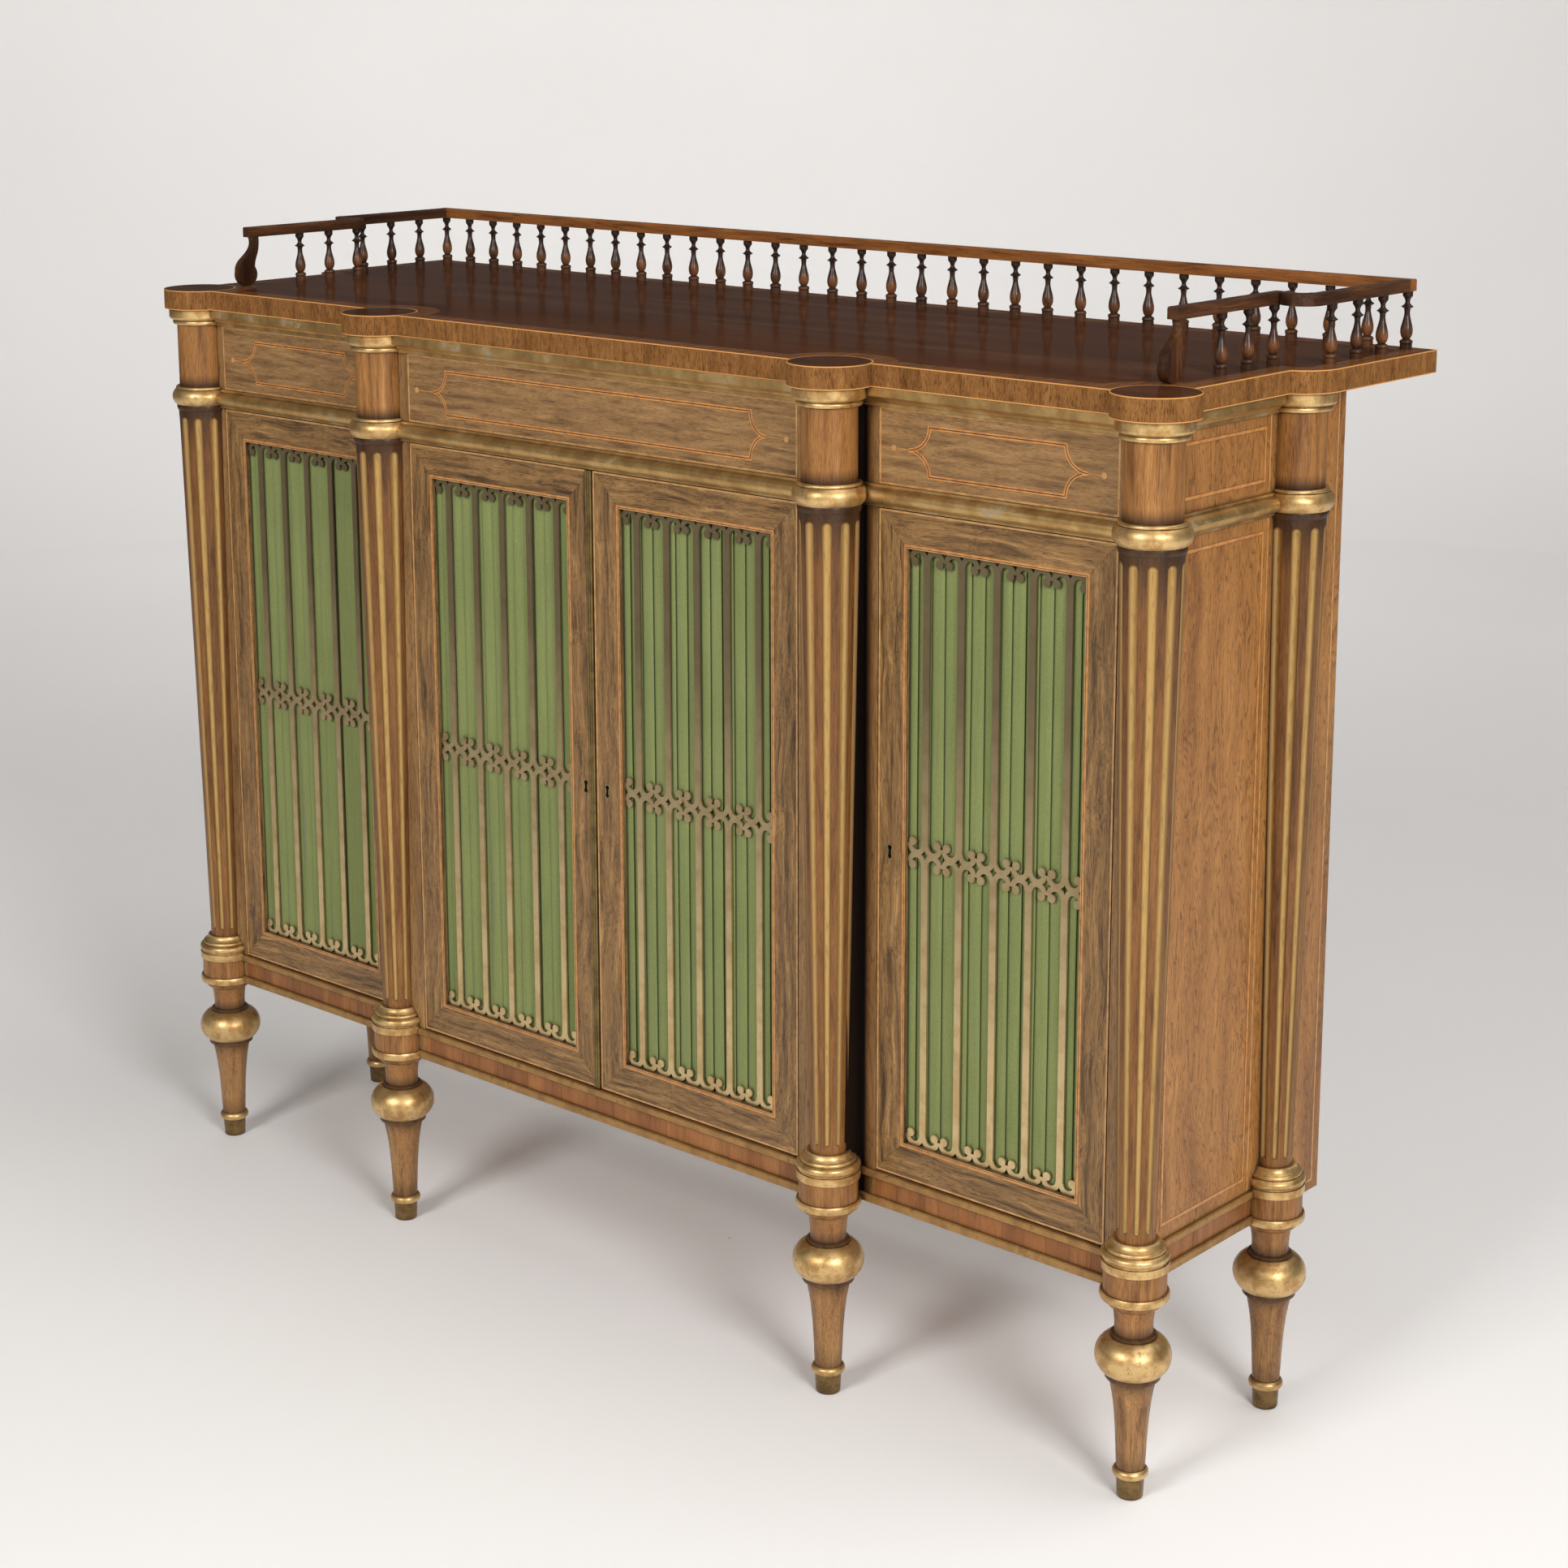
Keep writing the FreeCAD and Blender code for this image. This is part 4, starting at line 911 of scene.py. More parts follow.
@dataclass(frozen=True)
class Inlay:
    """A line of stringing: its strips from the right-hand side of its run to the left, in millimetres."""

    strips: tuple[tuple[float, Line], ...]
    proud_mm: float = 0.12
    sunk_mm: float = 0.4

    def width(self) -> float:
        """Return the whole width in metres."""
        return sum(width for width, _ in self.strips) * MM

    def offsets(self, path: Sequence[Point2], closed: bool) -> list[Vector]:
        """Find which way the line is wide.

        Args:
            path: The middle of the run.
            closed: Whether the run ends where it starts.

        Returns:
            The mitred sideways direction at each point of the run.
        """
        count = len(path)
        sideways = []
        for index, here in enumerate(path):
            before = path[index - 1] if closed or index else here
            after = path[(index + 1) % count] if closed or index < count - 1 else here
            normals = []
            for start, end in ((before, here), (here, after)):
                run = Vector(end) - Vector(start)
                if run.length > 0:
                    normals.append(Vector((-run.y, run.x)).normalized())
            mean = sum(normals, Vector((0, 0))).normalized()
            sideways.append(mean / mean.dot(normals[0]))
        return sideways

    def lay(self, shape: bmesh.types.BMesh, plane: Plane, path: Sequence[Point2], closed: bool = True) -> None:
        """Lay the line along a run on a face, as a closed strip let into it.

        Args:
            shape: The shape that it is added to.
            plane: The face.
            path: The middle of the run.
            closed: Whether the run ends where it starts.
        """
        edges = [-self.width() / 2]
        for width, _ in self.strips:
            edges.append(edges[-1] + width * MM)
        corners = [(edge, self.proud_mm * MM) for edge in edges]
        corners += [(edge, -self.sunk_mm * MM) for edge in (edges[-1], edges[0])]
        stations = [
            [shape.verts.new(plane.at(Vector(here) + side * edge, height)) for edge, height in corners]
            for here, side in zip(path, self.offsets(path, closed))
        ]
        pairs = list(zip(stations, stations[1:]))
        if closed:
            pairs.append((stations[-1], stations[0]))
        for start, end in pairs:
            for index in range(len(start)):
                after = (index + 1) % len(start)
                quad = (start[after], start[index], end[index], end[after])
                strip = self.strips[min(index, len(self.strips) - 1)][1]
                shape.faces.new(quad).material_index = strip.value
        if not closed:
            shape.faces.new(stations[0]).material_index = self.strips[0][1].value
            shape.faces.new(list(reversed(stations[-1]))).material_index = self.strips[0][1].value


# Where two lines meet, one stands a little lower than the other, so that their faces don't coincide.
EDGE_LINE = Inlay(((2.0, Line.PALE),))
DOOR_LINE = Inlay(((2.0, Line.ORANGE), (0.7, Line.BROWN), (1.0, Line.PALE)))
FRIEZE_LINE = Inlay(((1.5, Line.ORANGE), (1.0, Line.BROWN), (1.5, Line.ORANGE)))
FRIEZE_LINE_LOW = Inlay(FRIEZE_LINE.strips, proud_mm=0.1)
SIDE_LINE = Inlay(((0.4, Line.BROWN), (3.2, Line.ORANGE), (0.4, Line.BROWN)))
TIP_LINE = Inlay(((0.9, Line.ORANGE),), proud_mm=0.14)


@dataclass
class Finishes:
    """Every finish of the cabinet, built once and shared by its pieces."""

    lines: tuple[bpy.types.Material, ...]
    materials: dict[str, bpy.types.Material]

    @classmethod
    def build(cls) -> "Finishes":
        """Build what many pieces share.

        Returns:
            The finishes of the stringing and of the record's slots that need no place of their own.
        """
        # Sawn, glued in and scraped level: thin lines with hardly any figure, dulled by the same polish.
        lines = (
            Stringing("satinwood_stringing", "#C08446", "#A66C38"),
            Stringing("dyed_stringing", "#4A301E", "#3B2617"),
            Stringing("boxwood_stringing", "#BC8F5A", "#A27544"),
        )
        makers = {
            # Leaf burnished on turned rings: broad warm highlights, brown bole where it is rubbed through.
            "gilding": Gilding("gold_leaf", "#DDBA7E", "#BA9055", "#745431", roughness=0.44, lacquer=0.4),
            # Drawn brass, gilded and long since dulled: cloudy greenish gold with grey patches.
            "moulding_brass": Gilding(
                "gilded_moulding", "#D0AB6E", "#B08A54", "#928778", patch_mm=30.0, specks=0.3, wear=0.56,
                roughness=0.42, dents=0.05,
            ),
            # Cast cups, brown from the floor and from handling.
            "foot_brass": Gilding("cast_brass", "#8A7048", "#6A563A", "#4A3C2A", patch_mm=12.0),
            # Drawn reeds with dark grooves between them.
            "astragal_brass": Gilding("reeded_bronze", "#8A7448", "#6C5A38", "#4E4028", patch_mm=18.0),
            # Turned liners and sawn cases, brighter where a key rubs them.
            "lock_brass": Gilding("turned_brass", "#B8A67C", "#96845C", "#6E5E40", patch_mm=6.0),
            # Drawn bars, kept bright by sliding.
            "bolt_brass": Gilding("drawn_brass", "#C0A468", "#9C8350", "#6E5A38", patch_mm=8.0),
            # Sheet sawn and filed by hand: satin below with a painted reflection, tarnished brown above.
            "grille_brass": TarnishedGrilleWithPaintedReflection(
                "sheet_brass", "#D8BF90", "#C6AA7A", "#A4875A", patch_mm=24.0, specks=0.1, wear=0.7, dirt_and_shade="#4A3A26",
                dirt_and_shade_mm=2.0,
            ),
            # Knife-cut veneer, faded by light: grey-brown with smoky dark figure.
            "frieze_rosewood": Wood(
                "frieze_rosewood", "#6A4E30", "#936F46", "#AC8658", "#35261A", Grain.ALONG_X, figure_mm=7.0,
                streak_mm=0.9, pore_mm=0.5, stretch=8.0, vein=0.5, smoke=0.7, streaks=0.4, pores=0.3, dirt_and_shade_mm=9.0,
            ),
            # Narrow upright veneer, drawn black in the corner beside each inner column as painted shade.
            "post_rosewood": RecessedWood("post_rosewood", "#6A4C2E", "#8E6A42", "#A88256", "#2A1D12", dirt_and_shade_mm=1.5),
            # Short blocks cut across the log: stripes side by side, each of its own tone.
            "plinth_crossbanding": CrossbandedWood(
                "kingwood_crossbanding", "#6A3F1E", "#986133", "#AE7843", "#3C210E", vein=0.2, streaks=0.3, pores=0.2,
                dirt_and_shade_mm=6.0, spread=0.55,
            ),
            # Planed boards under a thin coat of polish: plain red-brown with short pores.
            "carcase_mahogany": Wood("upright_mahogany", *MAHOGANY, "#4A2C18", vein=0.2),
            # Turned pins and screws, greyed by age.
            "fitting_steel": Plain("turned_steel", "#8C8A86", "#6E6C68", 3.0, 0.4, 1.0),
            # Plain weave, pleated and pressed: fine threads, with painted shade in the folds.
            "pleated_silk": PleatedSilk("pleated_silk", "#868E54", "#5D6736", "#2E3818"),
        }
        return cls(tuple(line.build() for line in lines), {slot: maker.build() for slot, maker in makers.items()})


def dress(node: str, material: bpy.types.Material) -> None:
    """Give a solid its finish.

    Args:
        node: The solid's name.
        material: The finish.
    """
    mesh = frame["nodes"][node].data
    mesh.materials.clear()
    mesh.materials.append(material)
    LOG.info("%s takes %s", node, material.name)


@dataclass
class Door:
    """One door: its veneered frame, its stringing and its silk.

    The silk's pleats turn under by lap_mm, in bends of radius fold_mm, and each slopes forward by
    rise_mm. Up the door, its folds drift sideways by drift_mm, in waves that differ from fold to fold.
    """

    place: Place
    border_mm: float = 5.0
    pleats: int = 14
    lap_mm: float = 5.0
    fold_mm: float = 0.45
    rise_mm: float = 2.4
    rows: int = 24
    drift_mm: float = 0.35
    drift_waves: float = 7.0
    drift_step: float = 1.7
    drift_points: int = 11
    clear_mm: float = 0.1
    bends: tuple[float, ...] = (0.8, 1.57, 2.34)
    bend_end: float = 3.14

    def __post_init__(self) -> None:
        """Take the door's sizes from its solids."""
        self.name = self.place.value
        self.low, self.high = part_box("door_frame_" + self.name)
        inset = Vector((self.border_mm, 0, self.border_mm)) * MM
        low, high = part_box("grille_" + self.name)
        self.opening_low, self.opening_high = low + inset, high - inset
        self.body = "door_" + self.name

    def veneer(self) -> None:
        """Veneer the frame with its fibres along each member.

        Knife-cut rosewood, faded and wiped for long: dark ring lines on a grey-brown ground, black in the corners from
        dirt and painted shade.
        """
        middle = (self.opening_low + self.opening_high) / 2
        half = (self.opening_high - self.opening_low) / 2
        finish = MitredWood(
            "rosewood_" + self.name, "#4C3822", "#8A673E", "#B48C58", "#241A11",
            figure_mm=6.0, streak_mm=0.9, pore_mm=0.5, stretch=16.0, vein=0.75, smoke=0.9, streaks=0.5, pores=0.25,
            wander_mm=9.0, dirt_and_shade_mm=9.0, centre=(middle.x, middle.z), half=(half.x, half.z),
        )
        dress("door_frame_" + self.name, finish.build())

    def string(self, finishes: Finishes) -> None:
        """Lay the stringing round the opening and along the outer edge.

        Args:
            finishes: The cabinet's finishes.
        """
        shape = bmesh.new()
        plane = Plane(Vector((0, self.low.y, 0)), Vector((1, 0, 0)))
        out = DOOR_LINE.width() / 2
        DOOR_LINE.lay(shape, plane, rectangle(
            (self.opening_low.x - out, self.opening_low.z - out),
            (self.opening_high.x + out, self.opening_high.z + out),
        ))
        inset = EDGE_LINE.width() / 2
        left, right = self.low.x + inset, self.high.x - inset
        base, top = self.low.z + inset, self.high.z - inset
        if self.place is Place.CENTRE_LEFT:
            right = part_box("meeting_astragal")[0].x
            EDGE_LINE.lay(shape, plane, [(right, top), (left, top), (left, base), (right, base)], closed=False)
        else:
            EDGE_LINE.lay(shape, plane, rectangle((left, base), (right, top)))
        piece = mesh_object("stringing_" + self.name, shape, finishes.lines)
        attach(piece, self.body)
        LOG.info("%s laid", piece.name)

    def section(self, width: float, front: float) -> list[Point2]:
        """Return the silk's folded section as X from the panel's left edge and Y.

        Each pleat slopes forward, turns under at its right-hand end, runs back below itself and turns
        again into the next.

        Args:
            width: The gathered width.
            front: The Y of the pleats' front edges.

        Returns:
            The points of the section.
        """
        pitch, lap, fold, rise = width / self.pleats, self.lap_mm * MM, self.fold_mm * MM, self.rise_mm * MM
        points: list[Point2] = [(0.0, front + rise)]
        for index in range(self.pleats):
            end = (index + 1) * pitch
            points.append((end - 0.5 * pitch, front + 0.35 * rise))
            points.append((end - fold, front))
            points += [(end - fold + fold * math.sin(turn), front + fold * (1 - math.cos(turn)))
                       for turn in (*self.bends, self.bend_end)]
            points.append((end - lap, front + 3 * fold))
            points += [(end - lap - fold * math.sin(turn), front + fold * (4 - math.cos(turn)))
                       for turn in self.bends]
            points.append((end - lap, front + 5 * fold))
            points.append((end, front + rise))
        return points

    def hang_silk(self, finishes: Finishes) -> None:
        """Args:
            finishes: The cabinet's finishes.
        """
        low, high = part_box("silk_" + self.name)
        width, height = high.x - low.x, high.z - low.z
        section = self.section(width, low.y + self.clear_mm * MM)
        leftward = self.name.endswith("left")
        shape = bmesh.new()
        lines = []
        for row in range(self.rows + 1):
            share = row / self.rows
            line = []
            for index, (x, y) in enumerate(section):
                wave = math.sin(self.drift_waves * share + self.drift_step * (index // self.drift_points))
                drift = self.drift_mm * MM * wave * math.sin(math.pi * share)
                at = min(max(x + drift, 0.0), width)
                line.append(shape.verts.new((high.x - at if leftward else low.x + at, y, low.z + share * height)))
            lines.append(line)
        for under, over in zip(lines, lines[1:]):
            for index in range(len(section) - 1):
                quad = (under[index], under[index + 1], over[index + 1], over[index])
                shape.faces.new(tuple(reversed(quad)) if leftward else quad)
        for face in shape.faces:
            face.smooth = True
        piece = mesh_object("pleated_silk_" + self.name, shape, [finishes.materials["pleated_silk"]])
        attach(piece, self.body)
        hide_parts("silk_" + self.name)

    def build(self, finishes: Finishes) -> None:
        """Dress the whole door.

        Args:
            finishes: The cabinet's finishes.
        """
        self.veneer()
        self.string(finishes)
        self.hang_silk(finishes)


@dataclass
class Frieze:
    """The three panels under the top, each with a lined figure that ends in points and dots.

    centre and wing hold half lengths of the figures: to the corners, the points and the dots.
    """

    panel_z: tuple[float, float] = (0.9595, 1.0355)
    figure_z: tuple[float, float] = (0.972, 1.020)
    dot_r_mm: float = 3.0
    dot_proud_mm: float = 0.3
    centre: tuple[float, float, float] = (0.2245, 0.245, 0.2725)
    wing: tuple[float, float, float] = (0.0803, 0.1055, 0.124)
    wing_x: float = 0.51
    sides: int = 20
    bends: int = 7

    def end_curve(self, corner: float, tip: float, high: bool) -> list[Point2]:
        """Draw the hollow quarter curve at an end of the figure.

        Args:
            corner: Half the figure's length to its corner.
            tip: Half its length to its point.
            high: Whether the curve is the upper one.

        Returns:
            The points from the corner to the figure's point.
        """
        edge, middle = self.figure_z[1 if high else 0], sum(self.figure_z) / 2
        points = []
        for index in range(self.bends + 1):
            turn = math.pi / 2 * index / self.bends
            across = tip - (tip - corner) * math.cos(turn)
            points.append((across, edge + (middle - edge) * math.sin(turn)))
        return points

    def figure(self, shape: bmesh.types.BMesh, plane: Plane, sizes: tuple[float, float, float]) -> None:
        """Lay one figure about the middle of a panel.

        Args:
            shape: The shape that it is added to.
            plane: The panel's face, with its origin in the middle of the figure's length.
            sizes: Half lengths to the corners, the points and the dots.
        """
        corner, tip, dot = sizes
        middle = sum(self.figure_z) / 2
        for high, line in ((True, FRIEZE_LINE), (False, FRIEZE_LINE_LOW)):
            right = self.end_curve(corner, tip, high)
            left = [(-across, up) for across, up in reversed(right)]
            line.lay(shape, plane, left + right, closed=False)
        for side in (-1, 1):
            TIP_LINE.lay(shape, plane, [(side * tip, middle), (side * dot, middle)], closed=False)
            self.dot(shape, plane, (side * dot, middle))

    def dot(self, shape: bmesh.types.BMesh, plane: Plane, centre: Point2) -> None:
        """Let a low domed dot of boxwood into the face.

        Args:
            shape: The shape that it is added to.
            plane: The panel's face.
            centre: The middle of the dot.
        """
        radius, proud = self.dot_r_mm * MM, self.dot_proud_mm * MM
        ring = []
        for index in range(self.sides):
            turn = 2 * math.pi * index / self.sides
            ring.append((centre[0] + radius * math.cos(turn), centre[1] + radius * math.sin(turn)))
        base = [shape.verts.new(plane.at(point, -proud)) for point in ring]
        rim = [shape.verts.new(plane.at(point, proud / 2)) for point in ring]
        crown = shape.verts.new(plane.at(centre, proud))
        shape.faces.new(list(reversed(base))).material_index = Line.PALE.value
        for index in range(self.sides):
            after = (index + 1) % self.sides
            for face in ((base[index], base[after], rim[after], rim[index]), (rim[index], rim[after], crown)):
                shape.faces.new(face).material_index = Line.PALE.value

    def build(self, finishes: Finishes) -> None:
        """Lay the figures and the edge lines of the three panels.

        Args:
            finishes: The cabinet's finishes.
        """
        shape = bmesh.new()
        low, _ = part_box("frieze_rails")
        wing_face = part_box("door_frame_wing_right")[0].y
        inset = EDGE_LINE.width() / 2
        for middle, face, sizes, first, last in (
            (0.0, low.y, self.centre, Place.CENTRE_LEFT, Place.CENTRE_RIGHT),
            (self.wing_x, wing_face, self.wing, Place.WING_RIGHT, Place.WING_RIGHT),
            (-self.wing_x, wing_face, self.wing, Place.WING_LEFT, Place.WING_LEFT),
        ):
            plane = Plane(Vector((middle, face, 0)), Vector((1, 0, 0)))
            self.figure(shape, plane, sizes)
            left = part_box("door_frame_" + first.value)[0].x - middle
            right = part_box("door_frame_" + last.value)[1].x - middle
            EDGE_LINE.lay(shape, plane, rectangle(
                (left + inset, self.panel_z[0] + inset), (right - inset, self.panel_z[1] - inset),
            ))
        piece = mesh_object("stringing_frieze", shape, finishes.lines)
        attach(piece, ROOT)
        LOG.info("%s laid", piece.name)


@dataclass
class Side:
    """One end of the cabinet: its stringing on the panel, the frieze and the pilaster behind."""

    hand: Hand
    panel: tuple[Point2, Point2] = ((-0.1286, 0.2605), (0.0156, 0.9215))
    frieze: tuple[Point2, Point2] = ((-0.1286, 0.972), (0.0156, 1.023))
    edge_y: float = 0.0245
    panel_margins: Point2 = (0.013, 0.0135)
    frieze_edge_z: Point2 = (0.9605, 1.035)
    pilaster: Point2 = (0.149, 0.2185)
    pilaster_top: float = 1.055
    return_run: float = 0.05

    def build(self, finishes: Finishes) -> None:
        """Lay the stringing.

        Args:
            finishes: The cabinet's finishes.
        """
        low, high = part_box("side_panel_" + self.hand.word())
        sign = self.hand.value
        face = high.x if self.hand is Hand.RIGHT else low.x
        plane = Plane(Vector((face, 0, 0)), Vector((0, sign, 0)))
        shape = bmesh.new()
        for (y0, z0), (y1, z1) in (self.panel, self.frieze):
            u0, u1 = sorted((sign * y0, sign * y1))
            SIDE_LINE.lay(shape, plane, rectangle((u0, z0), (u1, z1)))
        below, above = self.panel_margins
        for z0, z1 in ((self.panel[0][1] - below, self.panel[1][1] + above), self.frieze_edge_z):
            EDGE_LINE.lay(shape, plane, [(sign * self.edge_y, z0), (sign * self.edge_y, z1)], closed=False)
        back, base = self.pilaster
        run = [(sign * back, self.pilaster_top), (sign * back, base), (sign * (back - self.return_run), base)]
        EDGE_LINE.lay(shape, plane, run, closed=False)
        bmesh.ops.recalc_face_normals(shape, faces=shape.faces)
        piece = mesh_object("stringing_side_" + self.hand.word(), shape, finishes.lines)
        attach(piece, ROOT)
        LOG.info("%s laid", piece.name)


@dataclass
class Columns:
    """The six fluted columns, turned in one with their drums and legs."""

    def axes(self) -> dict[str, Vector]:
        """Return the columns' places and axes, from the feet that they stand on."""
        return {
            mount["name"].removeprefix("foot_"): Vector(mount["pos_m"])
            for mount in frame["record"]["mounts"]
        }

    def build(self) -> None:
        """Dress the columns.

        Turned rosewood under wax: warm and clear on the drums and legs, dark between the gilded flutes.
        """
        for place, axis in self.axes().items():
            finish = FlutedWood(
                "turned_rosewood_" + place, "#6C4A28", "#A07649", "#B88F5D", "#352318", figure_mm=9.0,
                streak_mm=0.8, stretch=12.0, vein=0.3, smoke=0.5, streaks=0.6, pores=0.25, dirt_and_shade_mm=9.0,
                axis=(abs(axis.x), axis.y),
            )
            dress("column_" + place, finish.build())


@dataclass
class Cabinet:
    """The fixed body: what its remaining solids are made of.

    fronts are the Y of the top's front edge at the centre and the wings, and flanks the X of its side
    edge before and behind the rear columns.
    """

    fronts: Point2 = (-0.220, -0.194)
    flanks: Point2 = (0.704, 0.732)
    back_board_mm: float = 183.0
    back_joint_mm: float = 1.6

    def top(self) -> None:
        """Finish the top board.

        Rosewood veneer under shellac: the field is nearly black from the polish, and the edge, which is
        handled most, is rubbed paler and shows its flecks.
        """
        low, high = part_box("top_board")
        feet = {mount["name"]: mount["pos_m"] for mount in frame["record"]["mounts"]}
        discs = tuple((feet["foot_" + name][0], feet["foot_" + name][1])
                      for name in ("inner_right", "outer_right", "rear_right"))
        border = Wood(
            "crossbanded_border", "#5C3A22", "#774C2C", "#895B3A", "#301C10", Grain.ALONG_Y, figure_mm=8.0, vein=0.3,
        )
        edge = Wood(
            "flecked_edge", "#6A4526", "#855B33", "#986B3D", "#2C1A0E", figure_mm=9.0, pore_mm=0.8, stretch=4.0,
            vein=0.3, pores=0.6,
        )
        finish = BandedTop(
            "french_polished_rosewood", "#3E2212", "#52301D", "#62402A", "#26140B", Grain.ALONG_X, figure_mm=40.0,
            vein=0.3, roughness=0.12, coat=0.0, gloss=0.008, border=border, edge=edge, discs=discs,
            step=(discs[0][0], discs[2][1]), fronts=self.fronts, sides=self.flanks, back=high.y,
            heights=(low.z, high.z),
        )
        dress("top_board", finish.build())

    def gallery(self) -> None:
        """Finish the rails, spindles and scrolls.

        Rosewood turned, moulded and carved, then wax polished: dark and glossy, with the back rail faded by light and
        the swell of each spindle drawn lighter, partly rubbed brown by dusting and partly a painted highlight.
        """
        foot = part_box("top_board")[1].z
        spindle = SpindleWood(
            "turned_rosewood_spindle", "#2C1E17", "#82502B", "#9C6436", "#21150E", figure_mm=8.0, vein=0.2, pores=0.2,
            roughness=0.34, coat=0.1, foot=foot,
        ).build()
        for run in ("back", "left", "right"):
            dress("gallery_spindles_" + run, spindle)
        back = Wood(
            "moulded_rosewood_back_rail", "#5A3318", "#8C5528", "#A56B36", "#2A170B", Grain.ALONG_X, figure_mm=8.0,
            vein=0.3, pores=0.2, roughness=0.3, coat=0.12, dirt_and_shade_mm=4.0,
        )
        dress("gallery_rail_back", back.build())
        side = Wood(
            "moulded_rosewood_side_rail", "#2A170E", "#4C2D19", "#6E4624", "#1A0F09", Grain.ALONG_Y, figure_mm=16.0,
            smoke=0.9, pores=0.25, roughness=0.3, coat=0.12,
        ).build()
        for hand in Hand:
            dress("gallery_rail_" + hand.word(), side)
        scroll = Wood(
            "carved_rosewood_scroll", "#29160D", "#472916", "#704724", "#1A0F09", figure_mm=14.0, smoke=0.9,
            roughness=0.28, coat=0.15,
        )
        dress("gallery_scrolls", scroll.build())

    def sides(self) -> None:
        """Finish the side panels.

        Broad leaves of veneer cut near the heart: long growth lines on a warm ground.
        """
        for hand in Hand:
            panel = Wood(
                "side_rosewood_" + hand.word(), "#7C5029", "#A36F3A", "#B88349", "#38230F", figure_mm=34.0,
                stretch=7.0, rings=24.0, vein=0.85, smoke=0.5, streaks=0.35, pores=0.25, dirt_and_shade_mm=9.0, wander_mm=9.0,
            )
            dress("side_panel_" + hand.word(), panel.build())

    def build(self, finishes: Finishes) -> None:
        """Dress every solid that no other part dresses.

        Args:
            finishes: The cabinet's finishes.
        """
        self.top()
        self.gallery()
        self.sides()
        for row in frame["record"]["subparts"]:
            material = finishes.materials.get(row["material_slot"])
            if material is not None:
                dress(row["node"], material)
        # The same planed boards, lying: their fibres run across the cabinet.
        level = Wood("level_mahogany", *MAHOGANY, "#4A2C18", Grain.ALONG_X, vein=0.2).build()
        for node in ("bottom_board", "under_top_board", "shelf_centre", "shelves_wing"):
            dress(node, level)
        # Upright boards edge to edge: each of its own tone, with a dark joint between.
        dress("back_panel", CrossbandedWood(
            "boarded_mahogany", *MAHOGANY, "#3A2212", figure_mm=14.0, vein=0.3, block_mm=self.back_board_mm,
            joint_mm=self.back_joint_mm,
        ).build())
        # Gilding that feet and brooms have rubbed: more wood-brown than gold.
        dress("plinth_beads", Gilding(
            "rubbed_gilt_bead", "#A67E48", "#8A663A", "#5E4228", patch_mm=26.0, specks=0.15, wear=0.56, roughness=0.42,
            metallic=0.5,
        ).build())


@dataclass(frozen=True)
class Lamp:
    """One soft square light: where it hangs, where it points, the length of its sides and its power."""

    name: str
    place: tuple[float, float, float]
    aim: tuple[float, float, float]
    size: float
    watts: float

    def hang(self) -> None:
        """Hang the light, which the camera doesn't see."""
        data = bpy.data.lights.new(self.name, "AREA")
        data.shape, data.size, data.energy = "SQUARE", self.size, self.watts
        lamp = bpy.data.objects.new(self.name, data)
        lamp.location = self.place
        lamp.rotation_mode = "QUATERNION"
        lamp.rotation_quaternion = (Vector(self.place) - Vector(self.aim)).to_track_quat("Z", "Y")
        lamp.visible_camera = False
        bpy.context.scene.collection.objects.link(lamp)


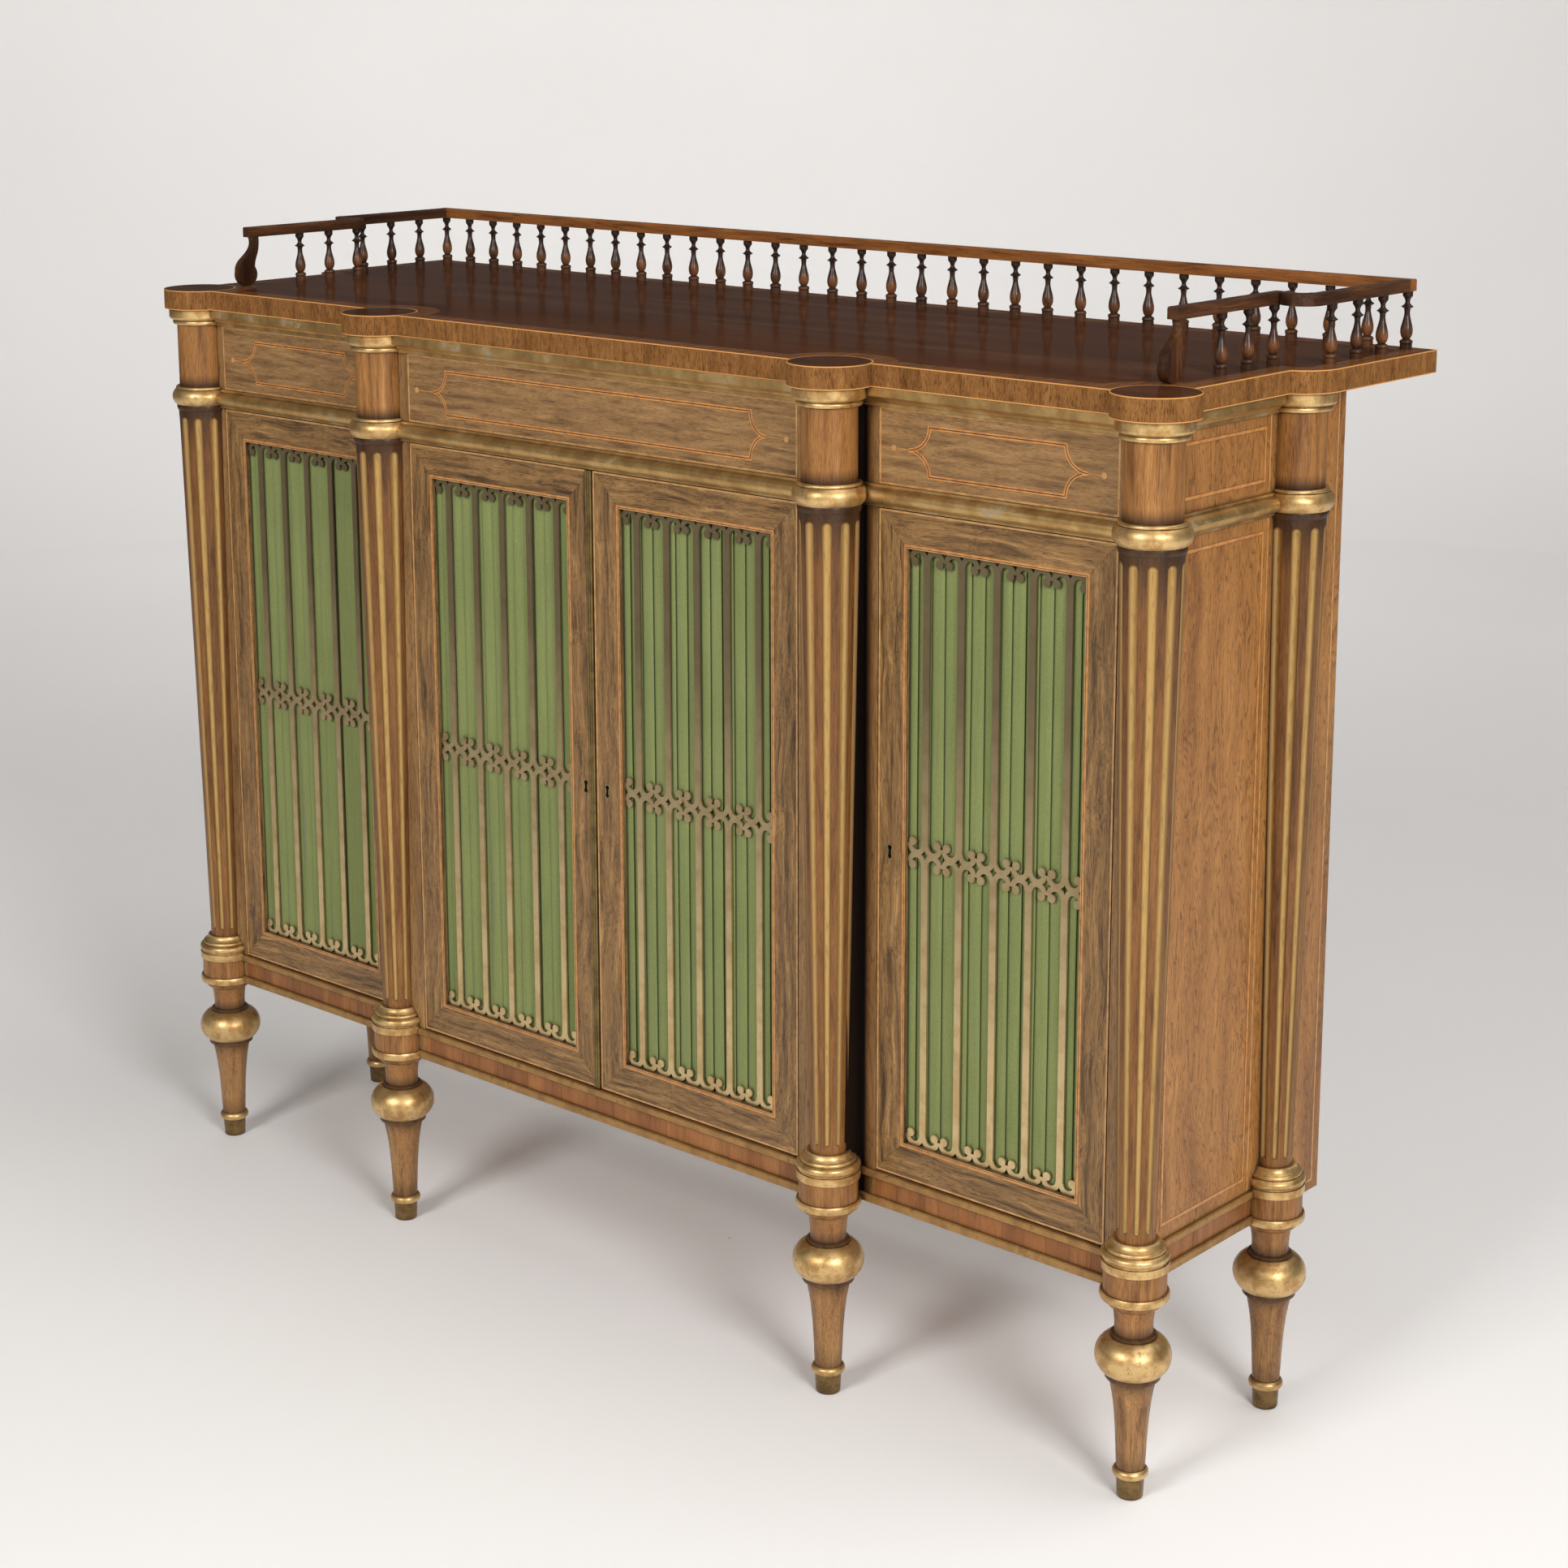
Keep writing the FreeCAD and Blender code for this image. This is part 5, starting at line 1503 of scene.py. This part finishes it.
@dataclass(frozen=True)
class Studio:
    """The photograph's viewpoint, the pale floor and the soft lights."""

    eye: tuple[float, float, float] = (2.15266, -2.34647, 1.44316)
    azimuth: float = 41.411
    elevation: float = 11.698
    roll: float = -0.12
    focal_px: float = 3593.78
    centre_px: Point2 = (962.9, 716.0)
    frame_px: float = 1932.0
    sensor_mm: float = 36.0
    floor_r: float = 4.6
    sweep_r: float = 2.4
    wall_z: float = 5.0
    hole_r: float = 0.001
    steps: int = 14
    sides: int = 72
    view_m: float = 60.0
    sky: str = "#E9E6E2"
    sky_strength: float = 0.12
    lamps: tuple[Lamp, ...] = (
        Lamp("key", (0.4, -4.1, 2.6), (0.1, 0.0, 0.6), 1.3, 95.0),
        Lamp("fill", (4.0, -1.9, 2.5), (0.5, 0.0, 0.5), 1.3, 122.0),
        Lamp("overhead", (1.9, 0.6, 4.9), (1.6, 0.3, 0.0), 3.0, 78.0),
        Lamp("wash", (-2.6, 2.6, 3.8), (-5.2, 5.0, 0.4), 2.4, 64.0),
    )

    def camera(self) -> None:
        """Stand the camera where the photograph was taken from."""
        turn, rise = math.radians(self.azimuth), math.radians(self.elevation)
        back = Vector((math.sin(turn) * math.cos(rise), -math.cos(turn) * math.cos(rise), math.sin(rise)))
        right = Vector((math.cos(turn), math.sin(turn), 0))
        pose = Matrix((right, back.cross(right), back)).transposed().to_4x4()
        data = bpy.data.cameras.new("viewpoint")
        data.sensor_width = self.sensor_mm
        data.lens = self.focal_px * self.sensor_mm / self.frame_px
        half = self.frame_px / 2
        data.shift_x = (half - self.centre_px[0]) / self.frame_px
        data.shift_y = (self.centre_px[1] - half) / self.frame_px
        data.clip_end = self.view_m
        camera = bpy.data.objects.new("viewpoint", data)
        camera.matrix_world = Matrix.Translation(self.eye) @ pose @ Matrix.Rotation(math.radians(self.roll), 4, "Z")
        bpy.context.scene.collection.objects.link(camera)
        bpy.context.scene.camera = camera

    def turned(self, name: str, profile: Sequence[Point2], paper: bpy.types.Material) -> bpy.types.Object:
        """Turn a profile of radii and heights round the middle of the floor.

        Args:
            name: The name of the piece.
            profile: Radii and heights from the inside out.
            paper: Its finish.

        Returns:
            The piece.
        """
        shape = bmesh.new()
        rings = []
        for radius, height in profile:
            turns = (2 * math.pi * index / self.sides for index in range(self.sides))
            rings.append([shape.verts.new((radius * math.cos(t), radius * math.sin(t), height)) for t in turns])
        for inner, outer in zip(rings, rings[1:]):
            for index in range(self.sides):
                after = (index + 1) % self.sides
                shape.faces.new((inner[index], outer[index], outer[after], inner[after])).smooth = True
        piece = mesh_object(name, shape, [paper])
        return piece

    def floor(self) -> None:
        """Lay a pale round floor and the wall that sweeps up from it, which polished pieces don't mirror."""
        # Matt coated paper: even, with hardly a cloud in it.
        paper = Plain("backdrop_paper", "#F7F5F3", "#F4F2F0", 900.0, 0.95).build()
        self.turned("floor", [(self.hole_r, 0.0), (0.5 * self.floor_r, 0.0), (self.floor_r, 0.0)], paper)
        sweep = []
        for index in range(self.steps + 1):
            turn = math.pi / 2 * index / self.steps
            sweep.append((self.floor_r + self.sweep_r * math.sin(turn), self.sweep_r * (1 - math.cos(turn))))
        wall = self.turned("wall", sweep + [(self.floor_r + self.sweep_r, self.wall_z)], paper)
        wall.visible_glossy = False

    def build(self) -> None:
        """Set up the whole studio."""
        self.camera()
        self.floor()
        for lamp in self.lamps:
            lamp.hang()
        world = bpy.data.worlds.new("studio")
        world.use_nodes = True
        backdrop = world.node_tree.nodes["Background"]
        backdrop.inputs["Color"].default_value = linear(self.sky)
        backdrop.inputs["Strength"].default_value = self.sky_strength
        bpy.context.scene.world = world
        bpy.context.scene.view_settings.view_transform = "Standard"
        LOG.info("studio set")


def main() -> None:
    """Dress the cabinet, then set up the studio round it."""
    logging.basicConfig(level=logging.INFO, format="%(name)s: %(message)s")
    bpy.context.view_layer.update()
    finishes = Finishes.build()
    Cabinet().build(finishes)
    Columns().build()
    Frieze().build(finishes)
    for hand in Hand:
        Side(hand).build(finishes)
    for place in Place:
        Door(place).build(finishes)
    Studio().build()


if __name__ == "__main__":
    main()
